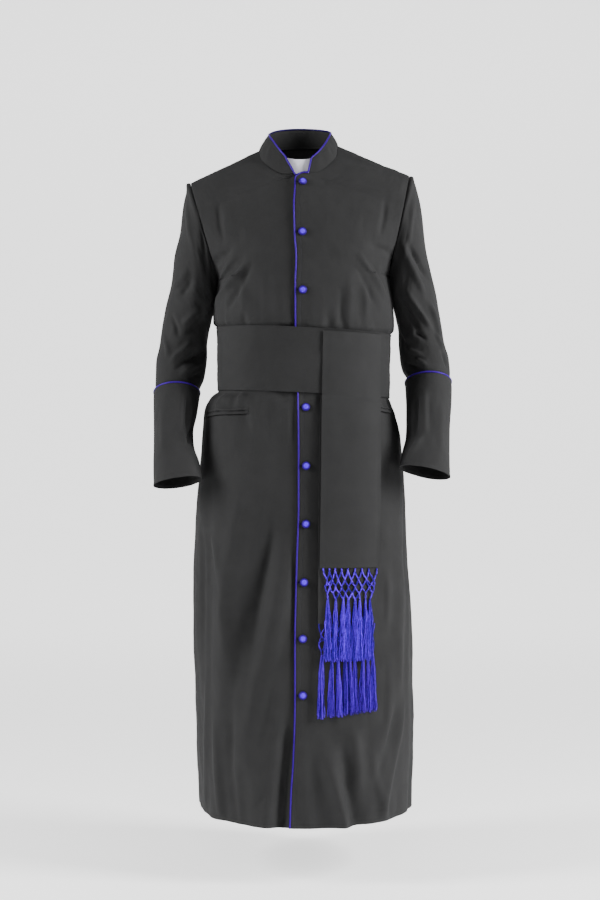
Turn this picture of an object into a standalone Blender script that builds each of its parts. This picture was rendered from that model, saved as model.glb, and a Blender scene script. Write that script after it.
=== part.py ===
"""Clergy robe: a full-length fitted cassock with blue piping, stand collar, turned-back cuffs,
a waist band with two hanging falls, and knotted fringes.

Metres, +Z up. The robe keeps the hollow form it has when worn. Its front faces -Y, the wearer's
left is +X, and the origin is the middle of the neck at the height where the shoulders meet it.
"drop" is the distance below the origin. Every cloth piece is a thin wall worked out from the
section tables below; seams keep a small gap.
"""

import math

import bmesh
import bpy
import numpy as np
from mathutils import Matrix

# ------------------------------------------------------------------ driving dimensions
WALL = 0.0018            # thickness of the cloth walls
SEAM = 0.0003            # gap between pieces at a seam
ROUND = 2.2              # exponent of the body sections: 2 is an ellipse, more is squarer
LAP_DIP = 0.0038         # how far the under front lies below the upper one
UNDERLAP_X = 0.035       # the under front reaches this far past the middle
PIPING_R = 0.0016        # piping cord radius
CORNER_X = 0.0190        # right end of the notch's bottom edge
BAND_TOP, BAND_LOW = 0.3985, 0.5375
BAND_OUT = 0.0034        # band's outer face above the robe
BUTTON_R, BUTTON_HIGH, BUTTON_INSET = 0.0090, 0.0062, 0.0145
PIT_ROW, NAPE_ROW = 0.60, 0.80   # where the neckline starts on the front and back yokes
HEM = 1.445
HEM_RISE = 0.009         # the hem is this much higher at the sides

BODY_ROWS, BODY_COLS = 21, 10
SLEEVE_ROWS, SLEEVE_SIDES = 13, 14

# ------------------------------------------------------------------ section tables
# one row per section of the body, below the underarm
BODY_NAMES = ("drop", "half_right", "half_left", "front", "back", "tilt")
BODY = (
    (0.285, 0.1783, 0.1926, 0.140, 0.118, 0.028),
    (0.308, 0.1812, 0.1965, 0.141, 0.116, 0.015),
    (0.345, 0.1884, 0.2043, 0.140, 0.112, -0.020),
    (0.374, 0.1895, 0.2068, 0.138, 0.108, -0.045),
    (0.389, 0.1880, 0.2055, 0.135, 0.105, -0.045),
    (0.402, 0.1800, 0.1965, 0.130, 0.100, -0.045),
    (0.460, 0.1790, 0.1952, 0.128, 0.098, -0.045),
    (0.541, 0.1785, 0.1942, 0.130, 0.104, -0.045),
    (0.556, 0.1960, 0.2000, 0.136, 0.112, -0.045),
    (0.580, 0.2080, 0.2078, 0.141, 0.121, -0.040),
    (0.616, 0.2120, 0.2180, 0.143, 0.130, -0.020),
    (0.660, 0.2170, 0.2235, 0.145, 0.138, 0.000),
    (0.704, 0.2210, 0.2270, 0.148, 0.145, 0.0),
    (0.814, 0.2300, 0.2320, 0.157, 0.155, 0.0),
    (0.990, 0.2340, 0.2430, 0.174, 0.171, 0.0),
    (1.166, 0.2295, 0.2490, 0.190, 0.188, 0.0),
    (1.342, 0.2245, 0.2480, 0.204, 0.205, 0.0),
    (1.445, 0.2200, 0.2450, 0.212, 0.217, 0.0),
)
# centre front and centre back above the underarm
CENTRE_FRONT_NAMES = ("drop", "depth")
CENTRE_FRONT = ((0.0645, 0.088), (0.100, 0.106), (0.150, 0.126), (0.220, 0.1385), (0.285, 0.140))
CENTRE_BACK_NAMES = ("drop", "depth")
CENTRE_BACK = ((-0.018, 0.075), (0.030, 0.090), (0.080, 0.104), (0.150, 0.116), (0.200, 0.120),
               (0.285, 0.118))
# how far round the body's curve a yoke row reaches, from the underarm (0) to the shoulder (1)
ARCH_NAMES = ("row", "degrees")
ARCH = ((0.0, 90.0), (0.25, 72.0), (0.50, 58.0), (0.75, 52.0), (1.0, 50.0))
# neckline seam from centre front to the shoulder, each side, then round the back
NECK_NAMES = ("x", "depth", "drop")
NECK_RIGHT = ((0.0000, -0.0880, 0.0645), (0.0300, -0.0850, 0.0665), (0.0530, -0.0770, 0.0590),
              (0.0765, -0.0560, 0.0395), (0.0865, -0.0340, 0.0245), (0.0905, -0.0120, 0.0070),
              (0.0910, 0.0000, 0.0020))
NECK_LEFT = ((0.0000, -0.0880, 0.0645), (0.0273, -0.0850, 0.0650), (0.0473, -0.0780, 0.0577),
             (0.0714, -0.0580, 0.0348), (0.0801, -0.0360, 0.0190), (0.0834, -0.0120, -0.0030),
             (0.0847, 0.0000, -0.0093))
NAPE_RIGHT = ((0.0000, 0.0750, -0.0180), (0.0350, 0.0700, -0.0160), (0.0640, 0.0520, -0.0100),
              (0.0830, 0.0260, -0.0030), (0.0910, 0.0000, 0.0020))
NAPE_LEFT = ((0.0000, 0.0750, -0.0180), (0.0330, 0.0700, -0.0180), (0.0600, 0.0520, -0.0160),
             (0.0780, 0.0260, -0.0120), (0.0847, 0.0000, -0.0093))
# sleeves: outer line, inner line, middle depth, front and back half depth, rise of the front
SLEEVE_NAMES = ("along", "out_x", "out_drop", "in_x", "in_drop", "mid", "front", "back", "lean")
SLEEVE_RIGHT = (
    (0.00, 0.2408, 0.0732, 0.1783, 0.2902, 0.002, 0.066, 0.070, 0.000),
    (0.03, 0.2483, 0.0776, 0.1797, 0.2935, 0.002, 0.067, 0.071, 0.000),
    (0.07, 0.2512, 0.0943, 0.1808, 0.3001, 0.002, 0.067, 0.071, 0.000),
    (0.15, 0.2585, 0.1272, 0.1828, 0.3121, 0.003, 0.066, 0.070, 0.000),
    (0.25, 0.2630, 0.1753, 0.1860, 0.3295, 0.005, 0.066, 0.069, 0.000),
    (0.38, 0.2756, 0.2345, 0.1904, 0.3524, 0.008, 0.065, 0.067, 0.000),
    (0.52, 0.2825, 0.2914, 0.1968, 0.3786, 0.012, 0.063, 0.064, 0.003),
    (0.66, 0.2972, 0.3551, 0.2042, 0.4125, 0.016, 0.060, 0.061, 0.008),
    (0.80, 0.3094, 0.4291, 0.2064, 0.4611, 0.013, 0.056, 0.057, 0.014),
    (0.90, 0.3177, 0.4747, 0.2122, 0.4990, 0.006, 0.053, 0.053, 0.020),
    (0.96, 0.3182, 0.5080, 0.2215, 0.5200, -0.002, 0.050, 0.050, 0.022),
    (1.00, 0.3155, 0.5300, 0.2255, 0.5385, -0.007, 0.0455, 0.0455, 0.022),
    (1.05, 0.3130, 0.5500, 0.2285, 0.5560, -0.015, 0.0430, 0.0430, 0.022),
)
SLEEVE_LEFT = (
    (0.00, 0.2399, 0.0580, 0.1926, 0.2799, 0.002, 0.066, 0.070, 0.000),
    (0.03, 0.2483, 0.0613, 0.1940, 0.2832, 0.002, 0.067, 0.071, 0.000),
    (0.07, 0.2540, 0.0756, 0.1954, 0.2891, 0.002, 0.067, 0.071, 0.000),
    (0.15, 0.2620, 0.1096, 0.1974, 0.3011, 0.003, 0.066, 0.070, 0.000),
    (0.25, 0.2688, 0.1577, 0.2004, 0.3185, 0.005, 0.066, 0.069, 0.000),
    (0.38, 0.2778, 0.2168, 0.2058, 0.3414, 0.008, 0.065, 0.067, 0.000),
    (0.52, 0.2903, 0.2781, 0.2112, 0.3682, 0.012, 0.063, 0.064, 0.003),
    (0.66, 0.3060, 0.3484, 0.2174, 0.4015, 0.016, 0.060, 0.061, 0.008),
    (0.80, 0.3182, 0.4258, 0.2190, 0.4479, 0.013, 0.056, 0.057, 0.014),
    (0.90, 0.3276, 0.4650, 0.2238, 0.4813, 0.006, 0.053, 0.053, 0.020),
    (0.96, 0.3290, 0.4870, 0.2330, 0.4980, -0.002, 0.050, 0.050, 0.022),
    (1.00, 0.3270, 0.5090, 0.2365, 0.5165, -0.007, 0.0455, 0.0455, 0.022),
    (1.05, 0.3245, 0.5290, 0.2385, 0.5350, -0.015, 0.0430, 0.0430, 0.022),
)
CUFF_NAMES = SLEEVE_NAMES
CUFF_RIGHT = (
    (0.00, 0.3213, 0.5271, 0.2197, 0.5336, -0.004, 0.0520, 0.0520, 0.022),
    (0.25, 0.3191, 0.5791, 0.2251, 0.5770, -0.024, 0.0505, 0.0505, 0.020),
    (0.50, 0.3171, 0.6318, 0.2313, 0.6231, -0.046, 0.0490, 0.0490, 0.018),
    (0.60, 0.3163, 0.6535, 0.2296, 0.6492, -0.055, 0.0490, 0.0485, 0.017),
    (0.80, 0.3148, 0.6967, 0.2166, 0.6859, -0.076, 0.0490, 0.0480, 0.014),
    (1.00, 0.3127, 0.7373, 0.2086, 0.7212, -0.094, 0.0490, 0.0480, 0.012),
)
CUFF_LEFT = (
    (0.00, 0.3327, 0.5040, 0.2307, 0.5117, -0.004, 0.0520, 0.0520, 0.022),
    (0.25, 0.3300, 0.5551, 0.2310, 0.5507, -0.024, 0.0505, 0.0505, 0.020),
    (0.50, 0.3249, 0.6122, 0.2298, 0.6035, -0.046, 0.0490, 0.0490, 0.018),
    (0.60, 0.3234, 0.6383, 0.2280, 0.6318, -0.056, 0.0490, 0.0485, 0.017),
    (0.80, 0.3217, 0.6772, 0.2187, 0.6643, -0.078, 0.0490, 0.0480, 0.014),
    (1.00, 0.3206, 0.7190, 0.2120, 0.6965, -0.096, 0.0490, 0.0480, 0.012),
)
# the upper front's edge, which the piping follows from the notch to the hem
EDGE_NAMES = ("drop", "x")
EDGE = ((0.0645, -0.0086), (0.097, -0.0094), (0.127, -0.0113), (0.2045, -0.0093),
        (0.251, -0.0063), (0.309, -0.0084), (0.393, -0.0080), (0.540, -0.0025),
        (0.681, -0.0013), (0.778, -0.0013), (0.891, -0.0048), (1.061, -0.0088),
        (1.166, -0.0087), (1.311, -0.0131), (1.376, -0.0175), (1.445, -0.0199))
# top edge of the stand collar, from the notch round the back to the notch
COLLAR_NAMES = ("x", "depth", "drop")
COLLAR_TOP = ((-0.0310, -0.0760, 0.0310), (-0.0450, -0.0640, 0.0130), (-0.0590, -0.0440, -0.0090),
              (-0.0690, -0.0150, -0.0270), (-0.0690, 0.0150, -0.0370), (-0.0520, 0.0480, -0.0490),
              (-0.0270, 0.0640, -0.0550), (0.0000, 0.0685, -0.0565), (0.0270, 0.0640, -0.0550),
              (0.0520, 0.0480, -0.0500), (0.0680, 0.0150, -0.0400), (0.0675, -0.0150, -0.0290),
              (0.0570, -0.0440, -0.0060), (0.0410, -0.0660, 0.0170), (0.0250, -0.0770, 0.0320))
# largest folds of the skirt and chest: face is -1 front, 1 back; height is out (+) or in (-)
FOLD_NAMES = ("face", "x_top", "drop_top", "x_low", "drop_low", "width", "height")
FOLDS = (
    (-1, -0.046, 0.740, -0.146, 1.240, 0.024, -0.0090),
    (-1, -0.030, 0.840, -0.140, 1.400, 0.022, 0.0080),
    (-1, -0.160, 0.760, -0.175, 1.445, 0.026, 0.0055),
    (-1, -0.196, 0.700, -0.200, 1.300, 0.020, -0.0050),
    (-1, -0.014, 1.180, -0.040, 1.445, 0.018, -0.0060),
    (-1, 0.222, 0.900, 0.165, 1.400, 0.024, 0.0060),
    (-1, 0.104, 1.150, 0.124, 1.420, 0.022, 0.0060),
    (-1, 0.045, 1.230, 0.092, 1.445, 0.018, 0.0070),
    (-1, 0.085, 1.250, 0.120, 1.445, 0.018, -0.0060),
    (-1, -0.185, 0.339, -0.115, 0.258, 0.014, 0.0035),
    (1, -0.040, 0.680, -0.060, 1.445, 0.024, 0.0090),
    (1, 0.045, 0.720, 0.070, 1.445, 0.026, 0.0080),
    (1, -0.100, 0.800, -0.122, 1.445, 0.024, -0.0080),
    (1, 0.105, 0.760, 0.130, 1.445, 0.022, -0.0080),
    (1, -0.160, 0.720, -0.178, 1.445, 0.026, 0.0070),
    (1, 0.165, 0.860, 0.190, 1.445, 0.026, 0.0075),
    (1, 0.004, 0.900, 0.006, 1.445, 0.018, -0.0055),
)
# the two falls: drop, left and right edge on the front, outer face above the robe
FALL_NAMES = ("drop", "x_left", "x_right", "out")
FALL_TOP = ((0.404, 0.0486, 0.1690, 0.0068), (0.460, 0.0475, 0.1685, 0.0069),
            (0.530, 0.0460, 0.1670, 0.0072), (0.552, 0.0455, 0.1670, 0.0082),
            (0.610, 0.0445, 0.1665, 0.0102), (0.700, 0.0435, 0.1655, 0.0118),
            (0.800, 0.0420, 0.1640, 0.0124), (0.909, 0.0400, 0.1585, 0.0126))
FALL_UNDER = ((0.543, 0.0425, 0.1600, 0.0050), (0.610, 0.0410, 0.1600, 0.0070),
              (0.700, 0.0395, 0.1590, 0.0088), (0.860, 0.0380, 0.1580, 0.0096),
              (1.024, 0.0370, 0.1570, 0.0100))
FRINGE_TOP = ((0.9094, 0.0460, 0.1560, 0.0148), (0.975, 0.0490, 0.1500, 0.0148),
              (1.100, 0.0520, 0.1450, 0.0148))
FRINGE_UNDER = ((1.0244, 0.0370, 0.1540, 0.0099), (1.080, 0.0360, 0.1550, 0.0099),
                (1.215, 0.0330, 0.1560, 0.0099))
FRINGE_THICK = 0.0038
# jetted pockets: where the opening starts and ends on the front
POCKET_NAMES = ("name", "x_front", "x_side", "drop_front", "drop_side")
POCKETS = (("pocket_right", -0.1090, -0.1995, 0.5730, 0.5760),
           ("pocket_left", 0.1000, 0.1960, 0.5640, 0.5690))
POCKET_HALF = 0.0065
BUTTON_NAMES = ("name", "drop")
BUTTONS = (("button_1", 0.0860), ("button_2", 0.1975), ("button_3", 0.3207),
           ("button_4", 0.5700), ("button_5", 0.6935), ("button_6", 0.8160),
           ("button_7", 0.9380), ("button_8", 1.0550), ("button_9", 1.1720))

CHARCOAL = (0.035, 0.036, 0.038, 1.0)
BLUE = (0.075, 0.060, 0.420, 1.0)
WHITE = (0.62, 0.60, 0.66, 1.0)


# ------------------------------------------------------------------ reading the tables
def column(table, names, name):
    return np.array([row[names.index(name)] for row in table], float)


def smooth(x, xs, ys):
    """Monotone cubic curve through (xs, ys), read at x."""
    x, xs, ys = np.asarray(x, float), np.asarray(xs, float), np.asarray(ys, float)
    step = np.diff(xs)
    rise = np.diff(ys) / step
    slope = np.zeros_like(ys)
    slope[0], slope[-1] = rise[0], rise[-1]
    for i in range(1, len(xs) - 1):
        if rise[i - 1] * rise[i] > 0:
            a, b = 2 * step[i] + step[i - 1], step[i] + 2 * step[i - 1]
            slope[i] = (a + b) / (a / rise[i - 1] + b / rise[i])
    i = np.clip(np.searchsorted(xs, x) - 1, 0, len(xs) - 2)
    t = np.clip((x - xs[i]) / step[i], 0.0, 1.0)
    return ((2 * t**3 - 3 * t**2 + 1) * ys[i] + (t**3 - 2 * t**2 + t) * step[i] * slope[i]
            + (3 * t**2 - 2 * t**3) * ys[i + 1] + (t**3 - t**2) * step[i] * slope[i + 1])


def through(points, u):
    """Catmull-Rom curve through points, read at fractions u of its length."""
    p = np.asarray(points, float)
    p = np.vstack([2 * p[0] - p[1], p, 2 * p[-1] - p[-2]])
    dense = []
    for i in range(1, len(p) - 2):
        for t in np.linspace(0, 1, 24, endpoint=False):
            dense.append(0.5 * (2 * p[i] + (p[i + 1] - p[i - 1]) * t
                                + (2 * p[i - 1] - 5 * p[i] + 4 * p[i + 1] - p[i + 2]) * t**2
                                + (3 * p[i] - p[i - 1] - 3 * p[i + 1] + p[i + 2]) * t**3))
    dense = np.array(dense + [p[-2]])
    run = np.concatenate([[0], np.cumsum(np.linalg.norm(np.diff(dense, axis=0), axis=1))])
    u = np.asarray(u, float) * run[-1]
    return np.stack([np.interp(u, run, dense[:, k]) for k in range(3)], axis=-1)


def ease(x):
    x = np.clip(x, 0.0, 1.0)
    return x * x * (3 - 2 * x)


def body_value(name, drop):
    return smooth(drop, column(BODY, BODY_NAMES, "drop"), column(BODY, BODY_NAMES, name))


def half(side, drop):
    return body_value("half_left" if side > 0 else "half_right", drop)


def edge_x(drop):
    return smooth(drop, column(EDGE, EDGE_NAMES, "drop"), column(EDGE, EDGE_NAMES, "x"))


# ------------------------------------------------------------------ the body's form
def folded(drop, around):
    """Sum of the folds as heights. around is the angle from centre front, + to the wearer's left."""
    drop, around = np.broadcast_arrays(np.asarray(drop, float), np.asarray(around, float))
    total = np.zeros_like(around)
    radius = (half(1, drop) + body_value("front", drop)) / 2
    for face, x_top, drop_top, x_low, drop_low, width, height in FOLDS:
        along = (drop - drop_top) / (drop_low - drop_top)
        x = x_top + (x_low - x_top) * np.clip(along, 0, 1)
        share = np.clip(np.abs(x) / np.where(x < 0, half(-1, drop), half(1, drop)), 0, 1)
        turn = np.arcsin(share ** (ROUND / 2))
        centre = np.sign(x) * (turn if face < 0 else math.pi - turn)
        apart = (around - centre + math.pi) % (2 * math.pi) - math.pi
        fade = ease(along / 0.35)
        if drop_low < HEM - 0.001:
            fade = fade * ease((1 - along) / 0.35)
        total = total + height * np.exp(-(apart * radius / width) ** 2) * fade
    return total


def hem_rise(drop, share):
    """How much the cloth sits higher towards the side seams, growing to the hem."""
    return HEM_RISE * ease((drop - 1.15) / 0.29) * share**2


def skirt(side, face, drop, angle):
    """Body below the underarm. angle runs from the centre (0) to the side seam (pi/2)."""
    drop, angle = np.broadcast_arrays(np.asarray(drop, float), np.asarray(angle, float))
    depth = body_value("front" if face < 0 else "back", drop)
    x = side * half(side, drop) * np.abs(np.sin(angle)) ** (2 / ROUND)
    y = face * depth * np.clip(np.cos(angle), 0, 1) ** (2 / ROUND)
    z = -drop + body_value("tilt", drop) * x + hem_rise(drop, x / half(side, drop))
    return np.stack([x, y, z], axis=-1)


def tube(table, names, side, along, turn):
    """Sleeve or cuff. turn 0 is the outer line, pi/2 the front, pi the inner line."""
    value = {n: smooth(along, column(table, names, "along"), column(table, names, n))
             for n in names[1:]}
    c, s = np.cos(turn), np.sin(turn)
    x = (value["out_x"] + value["in_x"]) / 2 + (value["out_x"] - value["in_x"]) / 2 * c
    drop = (value["out_drop"] + value["in_drop"]) / 2 + (value["out_drop"] - value["in_drop"]) / 2 * c
    y = value["mid"] - np.where(s > 0, value["front"], value["back"]) * s
    return np.stack([side * x, y, -drop + value["lean"] * s], axis=-1)


def armhole(side, face, row):
    table = SLEEVE_LEFT if side > 0 else SLEEVE_RIGHT
    turn = math.pi * (1 - np.asarray(row, float)) * (-face)
    return tube(table, SLEEVE_NAMES, side, 0.0 * turn, turn)


def centre_line(side, face, row):
    """Centre line up to the neck, then along the neckline to the shoulder."""
    start = PIT_ROW if face < 0 else NAPE_ROW
    table = CENTRE_FRONT if face < 0 else CENTRE_BACK
    names = CENTRE_FRONT_NAMES if face < 0 else CENTRE_BACK_NAMES
    neck = {(-1, -1): NECK_RIGHT, (1, -1): NECK_LEFT, (-1, 1): NAPE_RIGHT, (1, 1): NAPE_LEFT}
    out = []
    for r in np.atleast_1d(row):
        if r <= start:
            drop = table[-1][0] + (table[0][0] - table[-1][0]) * r / start
            depth = smooth(drop, column(table, names, "drop"), column(table, names, "depth"))
            out.append((0.0, face * float(depth), -drop))
        else:
            x, depth, drop = through(neck[(side, face)], (r - start) / (1 - start))
            out.append((side * x, depth, -drop))
    return np.array(out)


def yoke(side, face, row, part):
    """Body above the underarm: row 0 underarm to 1 shoulder, part 0 centre to 1 armhole."""
    row = np.atleast_1d(row)
    a, b = centre_line(side, face, row)[:, None, :], armhole(side, face, row)[:, None, :]
    most = np.radians(smooth(row, column(ARCH, ARCH_NAMES, "row"),
                             column(ARCH, ARCH_NAMES, "degrees")))[:, None]
    angle = np.asarray(part, float)[None, :] * most
    p = 2 / ROUND
    share = (np.sin(angle) / np.sin(most)) ** p
    bend = (1 - np.cos(angle).clip(0, 1) ** p) / (1 - np.cos(most).clip(0, 1) ** p)
    x = a[..., 0] + (b[..., 0] - a[..., 0]) * share
    z = a[..., 2] + (b[..., 2] - a[..., 2]) * share
    y = a[..., 1] + (b[..., 1] - a[..., 1]) * bend
    return np.stack([x, y, z], axis=-1)


def normals(grid, wrap=False):
    """Unit normals of a grid of points, rows down and columns across."""
    g = np.asarray(grid, float)
    down = np.gradient(g, axis=0)
    if wrap:
        across = (np.roll(g, -1, axis=1) - np.roll(g, 1, axis=1)) / 2
    else:
        across = np.gradient(g, axis=1)
    n = np.cross(across, down)
    length = np.linalg.norm(n, axis=-1, keepdims=True)
    return n / np.maximum(length, 1e-12)


def outward(n, grid, middle=(0.0, 0.0)):
    """Turn the normals so that most point away from the vertical line through middle."""
    away = grid[..., :2] - np.array(middle)
    return n if (n[..., :2] * away).sum() > 0 else -n


# ------------------------------------------------------------------ rows of the body
def yoke_rows(face, low=6, high=0):
    """Rows of the yoke, shoulder first: `high` of them end on the neckline."""
    start, high = (PIT_ROW, high or 8) if face < 0 else (NAPE_ROW, high or 6)
    return np.concatenate([np.linspace(1, start, high + 1), np.linspace(start, 0, low + 1)[1:]])


def skirt_drops(count):
    """Close together round the band, wider apart below."""
    stops = ((0, 0.285), (4, 0.374), (5, 0.389), (6, 0.402), (8, 0.541), (9, 0.556), (10, 0.580),
             (11, 0.616), (13, 0.704), (20, HEM))
    at = np.linspace(0, 20, count)
    return np.interp(at, [s[0] for s in stops], [s[1] for s in stops])


def quarter(side, face, yokes, drops, parts):
    """Points of a quarter of the body, shoulder to hem, centre to side, with its folds."""
    top = yoke(side, face, yokes, parts)
    low = skirt(side, face, drops[1:, None], parts[None, :] * math.pi / 2)
    grid = np.concatenate([top, low])
    n = outward(normals(grid), grid)
    n = seam_normals(n, side, face, len(yokes))
    around = side * (parts * math.pi / 2 if face < 0 else math.pi - parts * math.pi / 2)
    return grid + n * folded(-grid[..., 2], around[None, :])[..., None], n


# ------------------------------------------------------------------ making solids
def finish(name, mesh, colour, rough=0.8, smooth_angle=50.0):
    mesh.materials.append(material(name, colour, rough))
    obj = bpy.data.objects.new(name, mesh)
    bpy.context.scene.collection.objects.link(obj)
    mesh.shade_smooth()
    mesh.set_sharp_from_angle(angle=math.radians(smooth_angle))
    return obj


def material(name, colour, rough):
    m = bpy.data.materials.new(name + "_mat")
    m.use_nodes = True
    shader = next(n for n in m.node_tree.nodes if n.type == "BSDF_PRINCIPLED")
    shader.inputs["Base Color"].default_value = colour
    shader.inputs["Roughness"].default_value = rough
    shader.inputs["Metallic"].default_value = 0.0
    m.diffuse_color = colour
    return m


def wall(name, outer, inner, colour, wrap=False):
    """Closed wall between two grids of points; wrap joins the last column to the first."""
    rows, cols = outer.shape[:2]
    bm = bmesh.new()
    out = [[bm.verts.new(outer[i, j]) for j in range(cols)] for i in range(rows)]
    inn = [[bm.verts.new(inner[i, j]) for j in range(cols)] for i in range(rows)]
    last = cols if wrap else cols - 1
    for i in range(rows - 1):
        for j in range(last):
            k = (j + 1) % cols
            bm.faces.new((out[i][j], out[i + 1][j], out[i + 1][k], out[i][k]))
            bm.faces.new((inn[i][j], inn[i][k], inn[i + 1][k], inn[i + 1][j]))
    for j in range(last):
        k = (j + 1) % cols
        bm.faces.new((out[0][j], out[0][k], inn[0][k], inn[0][j]))
        bm.faces.new((out[-1][k], out[-1][j], inn[-1][j], inn[-1][k]))
    if not wrap:
        for i in range(rows - 1):
            bm.faces.new((out[i][0], inn[i][0], inn[i + 1][0], out[i + 1][0]))
            bm.faces.new((out[i][-1], out[i + 1][-1], inn[i + 1][-1], inn[i][-1]))
    bmesh.ops.recalc_face_normals(bm, faces=bm.faces)
    if bm.calc_volume(signed=True) < 0:
        bmesh.ops.reverse_faces(bm, faces=bm.faces)
    mesh = bpy.data.meshes.new(name)
    bm.to_mesh(mesh)
    bm.free()
    return finish(name, mesh, colour)


def cord(name, points, radius, colour, closed=False, sides=1):
    """Round cord along points, with closed ends."""
    curve = bpy.data.curves.new(name, "CURVE")
    curve.dimensions = "3D"
    curve.bevel_depth, curve.bevel_resolution, curve.use_fill_caps = radius, sides, not closed
    spline = curve.splines.new("POLY")
    spline.points.add(len(points) - 1)
    for p, at in zip(spline.points, points):
        p.co = (*at, 1.0)
    spline.use_cyclic_u = closed
    spline.use_smooth = True
    curve.materials.append(material(name, colour, 0.5))
    obj = bpy.data.objects.new(name, curve)
    bpy.context.scene.collection.objects.link(obj)
    return obj


# ------------------------------------------------------------------ panels
def panel_points():
    """Outer and inner grids of the four body panels."""
    drops, parts = skirt_drops(BODY_ROWS), np.linspace(0, 1, BODY_COLS + 1)
    yokes = {face: yoke_rows(face) for face in (-1, 1)}
    grids = {(side, face): quarter(side, face, yokes[face], drops, parts)
             for side in (-1, 1) for face in (-1, 1)}
    made = {}
    for side in (-1, 1):
        # backs: centre-back seam, side seam, shoulder seam
        grid, n = (g.copy() for g in grids[side, 1])
        grid[:, 0, 0] += side * np.where(np.arange(len(grid)) >= 6, SEAM / 2, 0)
        grid[len(yokes[1]) - 1:, -1, 1] += SEAM / 2
        grid[0, :, 1] += SEAM / 2
        made["back_left" if side > 0 else "back_right"] = (grid, grid - n * WALL)
        # fronts: the wearer's left one laps over, the right one runs on under it
        grid, n = (g.copy() for g in grids[side, -1])
        other, n_other = grids[-side, -1]
        rows, yoke_count = len(grid), len(yokes[-1])
        under_pit = np.concatenate([yokes[-1] <= PIT_ROW + 1e-9,
                                    np.ones(rows - yoke_count, bool)])
        drop = -grid[:, 0, 2]
        reach = -edge_x(drop) if side > 0 else np.full(rows, UNDERLAP_X)
        strips = 1 if side > 0 else 2
        lead, lead_n = np.zeros((rows, strips, 3)), np.zeros((rows, strips, 3))
        for k in range(strips):
            for i in range(rows):
                if under_pit[i]:
                    xs, want = np.abs(other[i, :, 0]), reach[i] * (strips - k) / strips
                    lead[i, k] = [np.interp(want, xs, other[i, :, c]) for c in range(3)]
                    lead_n[i, k] = [np.interp(want, xs, n_other[i, :, c]) for c in range(3)]
                else:
                    # above the notch the strip closes up to the neckline
                    lead[i, k] = grid[i, 0] + (grid[i, 1] - grid[i, 0]) * 0.4 * k / strips
                    lead_n[i, k] = n[i, 0]
        first = grid[:, :1].copy()
        first[~under_pit, 0] = grid[~under_pit, 0] * 0.6 + grid[~under_pit, 1] * 0.4
        grid = np.concatenate([lead, first, grid[:, 1:]], axis=1)
        n = np.concatenate([lead_n, n], axis=1)
        grid[yoke_count - 1:, -1, 1] -= SEAM / 2
        grid[0, :, 1] -= SEAM / 2
        if side < 0:
            grid = grid - n * (LAP_DIP * ease((grid[..., 0] + 0.075) / 0.055))[..., None]
        made["front_left" if side > 0 else "front_right"] = (grid, grid - n * WALL)
    return made


def seam_normals(n, side, face, yokes):
    """At a seam the wall's edge stays in the seam's own plane."""
    n = n.copy()
    n[6 if face > 0 else 8:, 0, 0] = 0.0
    n[yokes - 1:, -1, 1] = 0.0
    n[yokes - 1:, -1, 0] = side
    n[0, :, 1] = 0.0
    return n / np.maximum(np.linalg.norm(n, axis=-1, keepdims=True), 1e-9)


def front_at(x, drop, out=0.0, folds=True):
    """Point of the front at x and drop, moved out from the cloth."""
    x, drop = np.broadcast_arrays(np.asarray(x, float), np.asarray(drop, float))
    p = []
    for e in ((0.0, 0.0), (0.002, 0.0), (0.0, 0.002)):
        xx, dd = x + e[0], drop + e[1]
        side_half = np.where(xx < 0, half(-1, dd), half(1, dd))
        deep = body_value("front", dd)
        share = np.clip(np.abs(xx) / side_half, 0, 1)
        z = -dd + body_value("tilt", dd) * xx + hem_rise(dd, share)
        p.append(np.stack([xx, -deep * (1 - share**ROUND) ** (1 / ROUND), z], axis=-1))
    n = np.cross(p[1] - p[0], p[2] - p[0])
    n /= np.linalg.norm(n, axis=-1, keepdims=True)
    n = np.where(n[..., 1:2] > 0, -n, n)
    return p[0] + n * np.asarray(out)[..., None] if np.ndim(out) else p[0] + n * out, n


def across(x_left, x_right, drop, u):
    """x from one edge to the other, evenly spaced round the section. Both edges on one side."""
    side = np.sign(x_left + x_right)
    w = half(-1, drop) if np.all(side < 0) else half(1, drop)
    a, b = (np.arcsin(np.clip(np.abs(x) / w, 0, 0.9999) ** (ROUND / 2)) for x in (x_left, x_right))
    return side * w * np.sin(a + (b - a) * u) ** (2 / ROUND)


def strip(name, table, cols, thick, colour):
    """A strip that lies on the front: its edges and its outer face come from the table."""
    own, body = column(table, FALL_NAMES, "drop"), column(BODY, BODY_NAMES, "drop")
    drops = np.unique(np.concatenate([own, body[(body > own[0] + 0.008) & (body < own[-1] - 0.008)]]))
    drops = drops[np.concatenate([[True], np.diff(drops) > 0.004])]
    x_left, x_right, out = (smooth(drops, column(table, FALL_NAMES, "drop"),
                                   column(table, FALL_NAMES, n))[:, None]
                            for n in FALL_NAMES[1:])
    x = across(x_left, x_right, drops[:, None], np.linspace(0, 1, cols)[None, :])
    outer, n = front_at(x, np.repeat(drops[:, None], cols, axis=1), 0.0)
    out = out[..., None]
    return wall(name, outer + n * out, outer + n * (out - thick), colour)


def build_body():
    made = panel_points()
    for name, (outer, inner) in made.items():
        wall(name, outer, inner, CHARCOAL)
    return made


def build_sleeves():
    turn = np.linspace(0, 2 * math.pi, SLEEVE_SIDES, endpoint=False)[None, :]
    for side, word, table in ((-1, "right", SLEEVE_RIGHT), (1, "left", SLEEVE_LEFT)):
        stations = column(table, SLEEVE_NAMES, "along")
        along = np.interp(np.linspace(0, 1, SLEEVE_ROWS), np.linspace(0, 1, len(stations)), stations)
        grid = tube(table, SLEEVE_NAMES, side, along[:, None], turn)
        grid[..., 0] += side * 0.0009 * ease(1 - along / 0.03)[:, None]
        inner = inward(grid, WALL)
        wall("sleeve_" + word, grid, inner, CHARCOAL, wrap=True)


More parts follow.
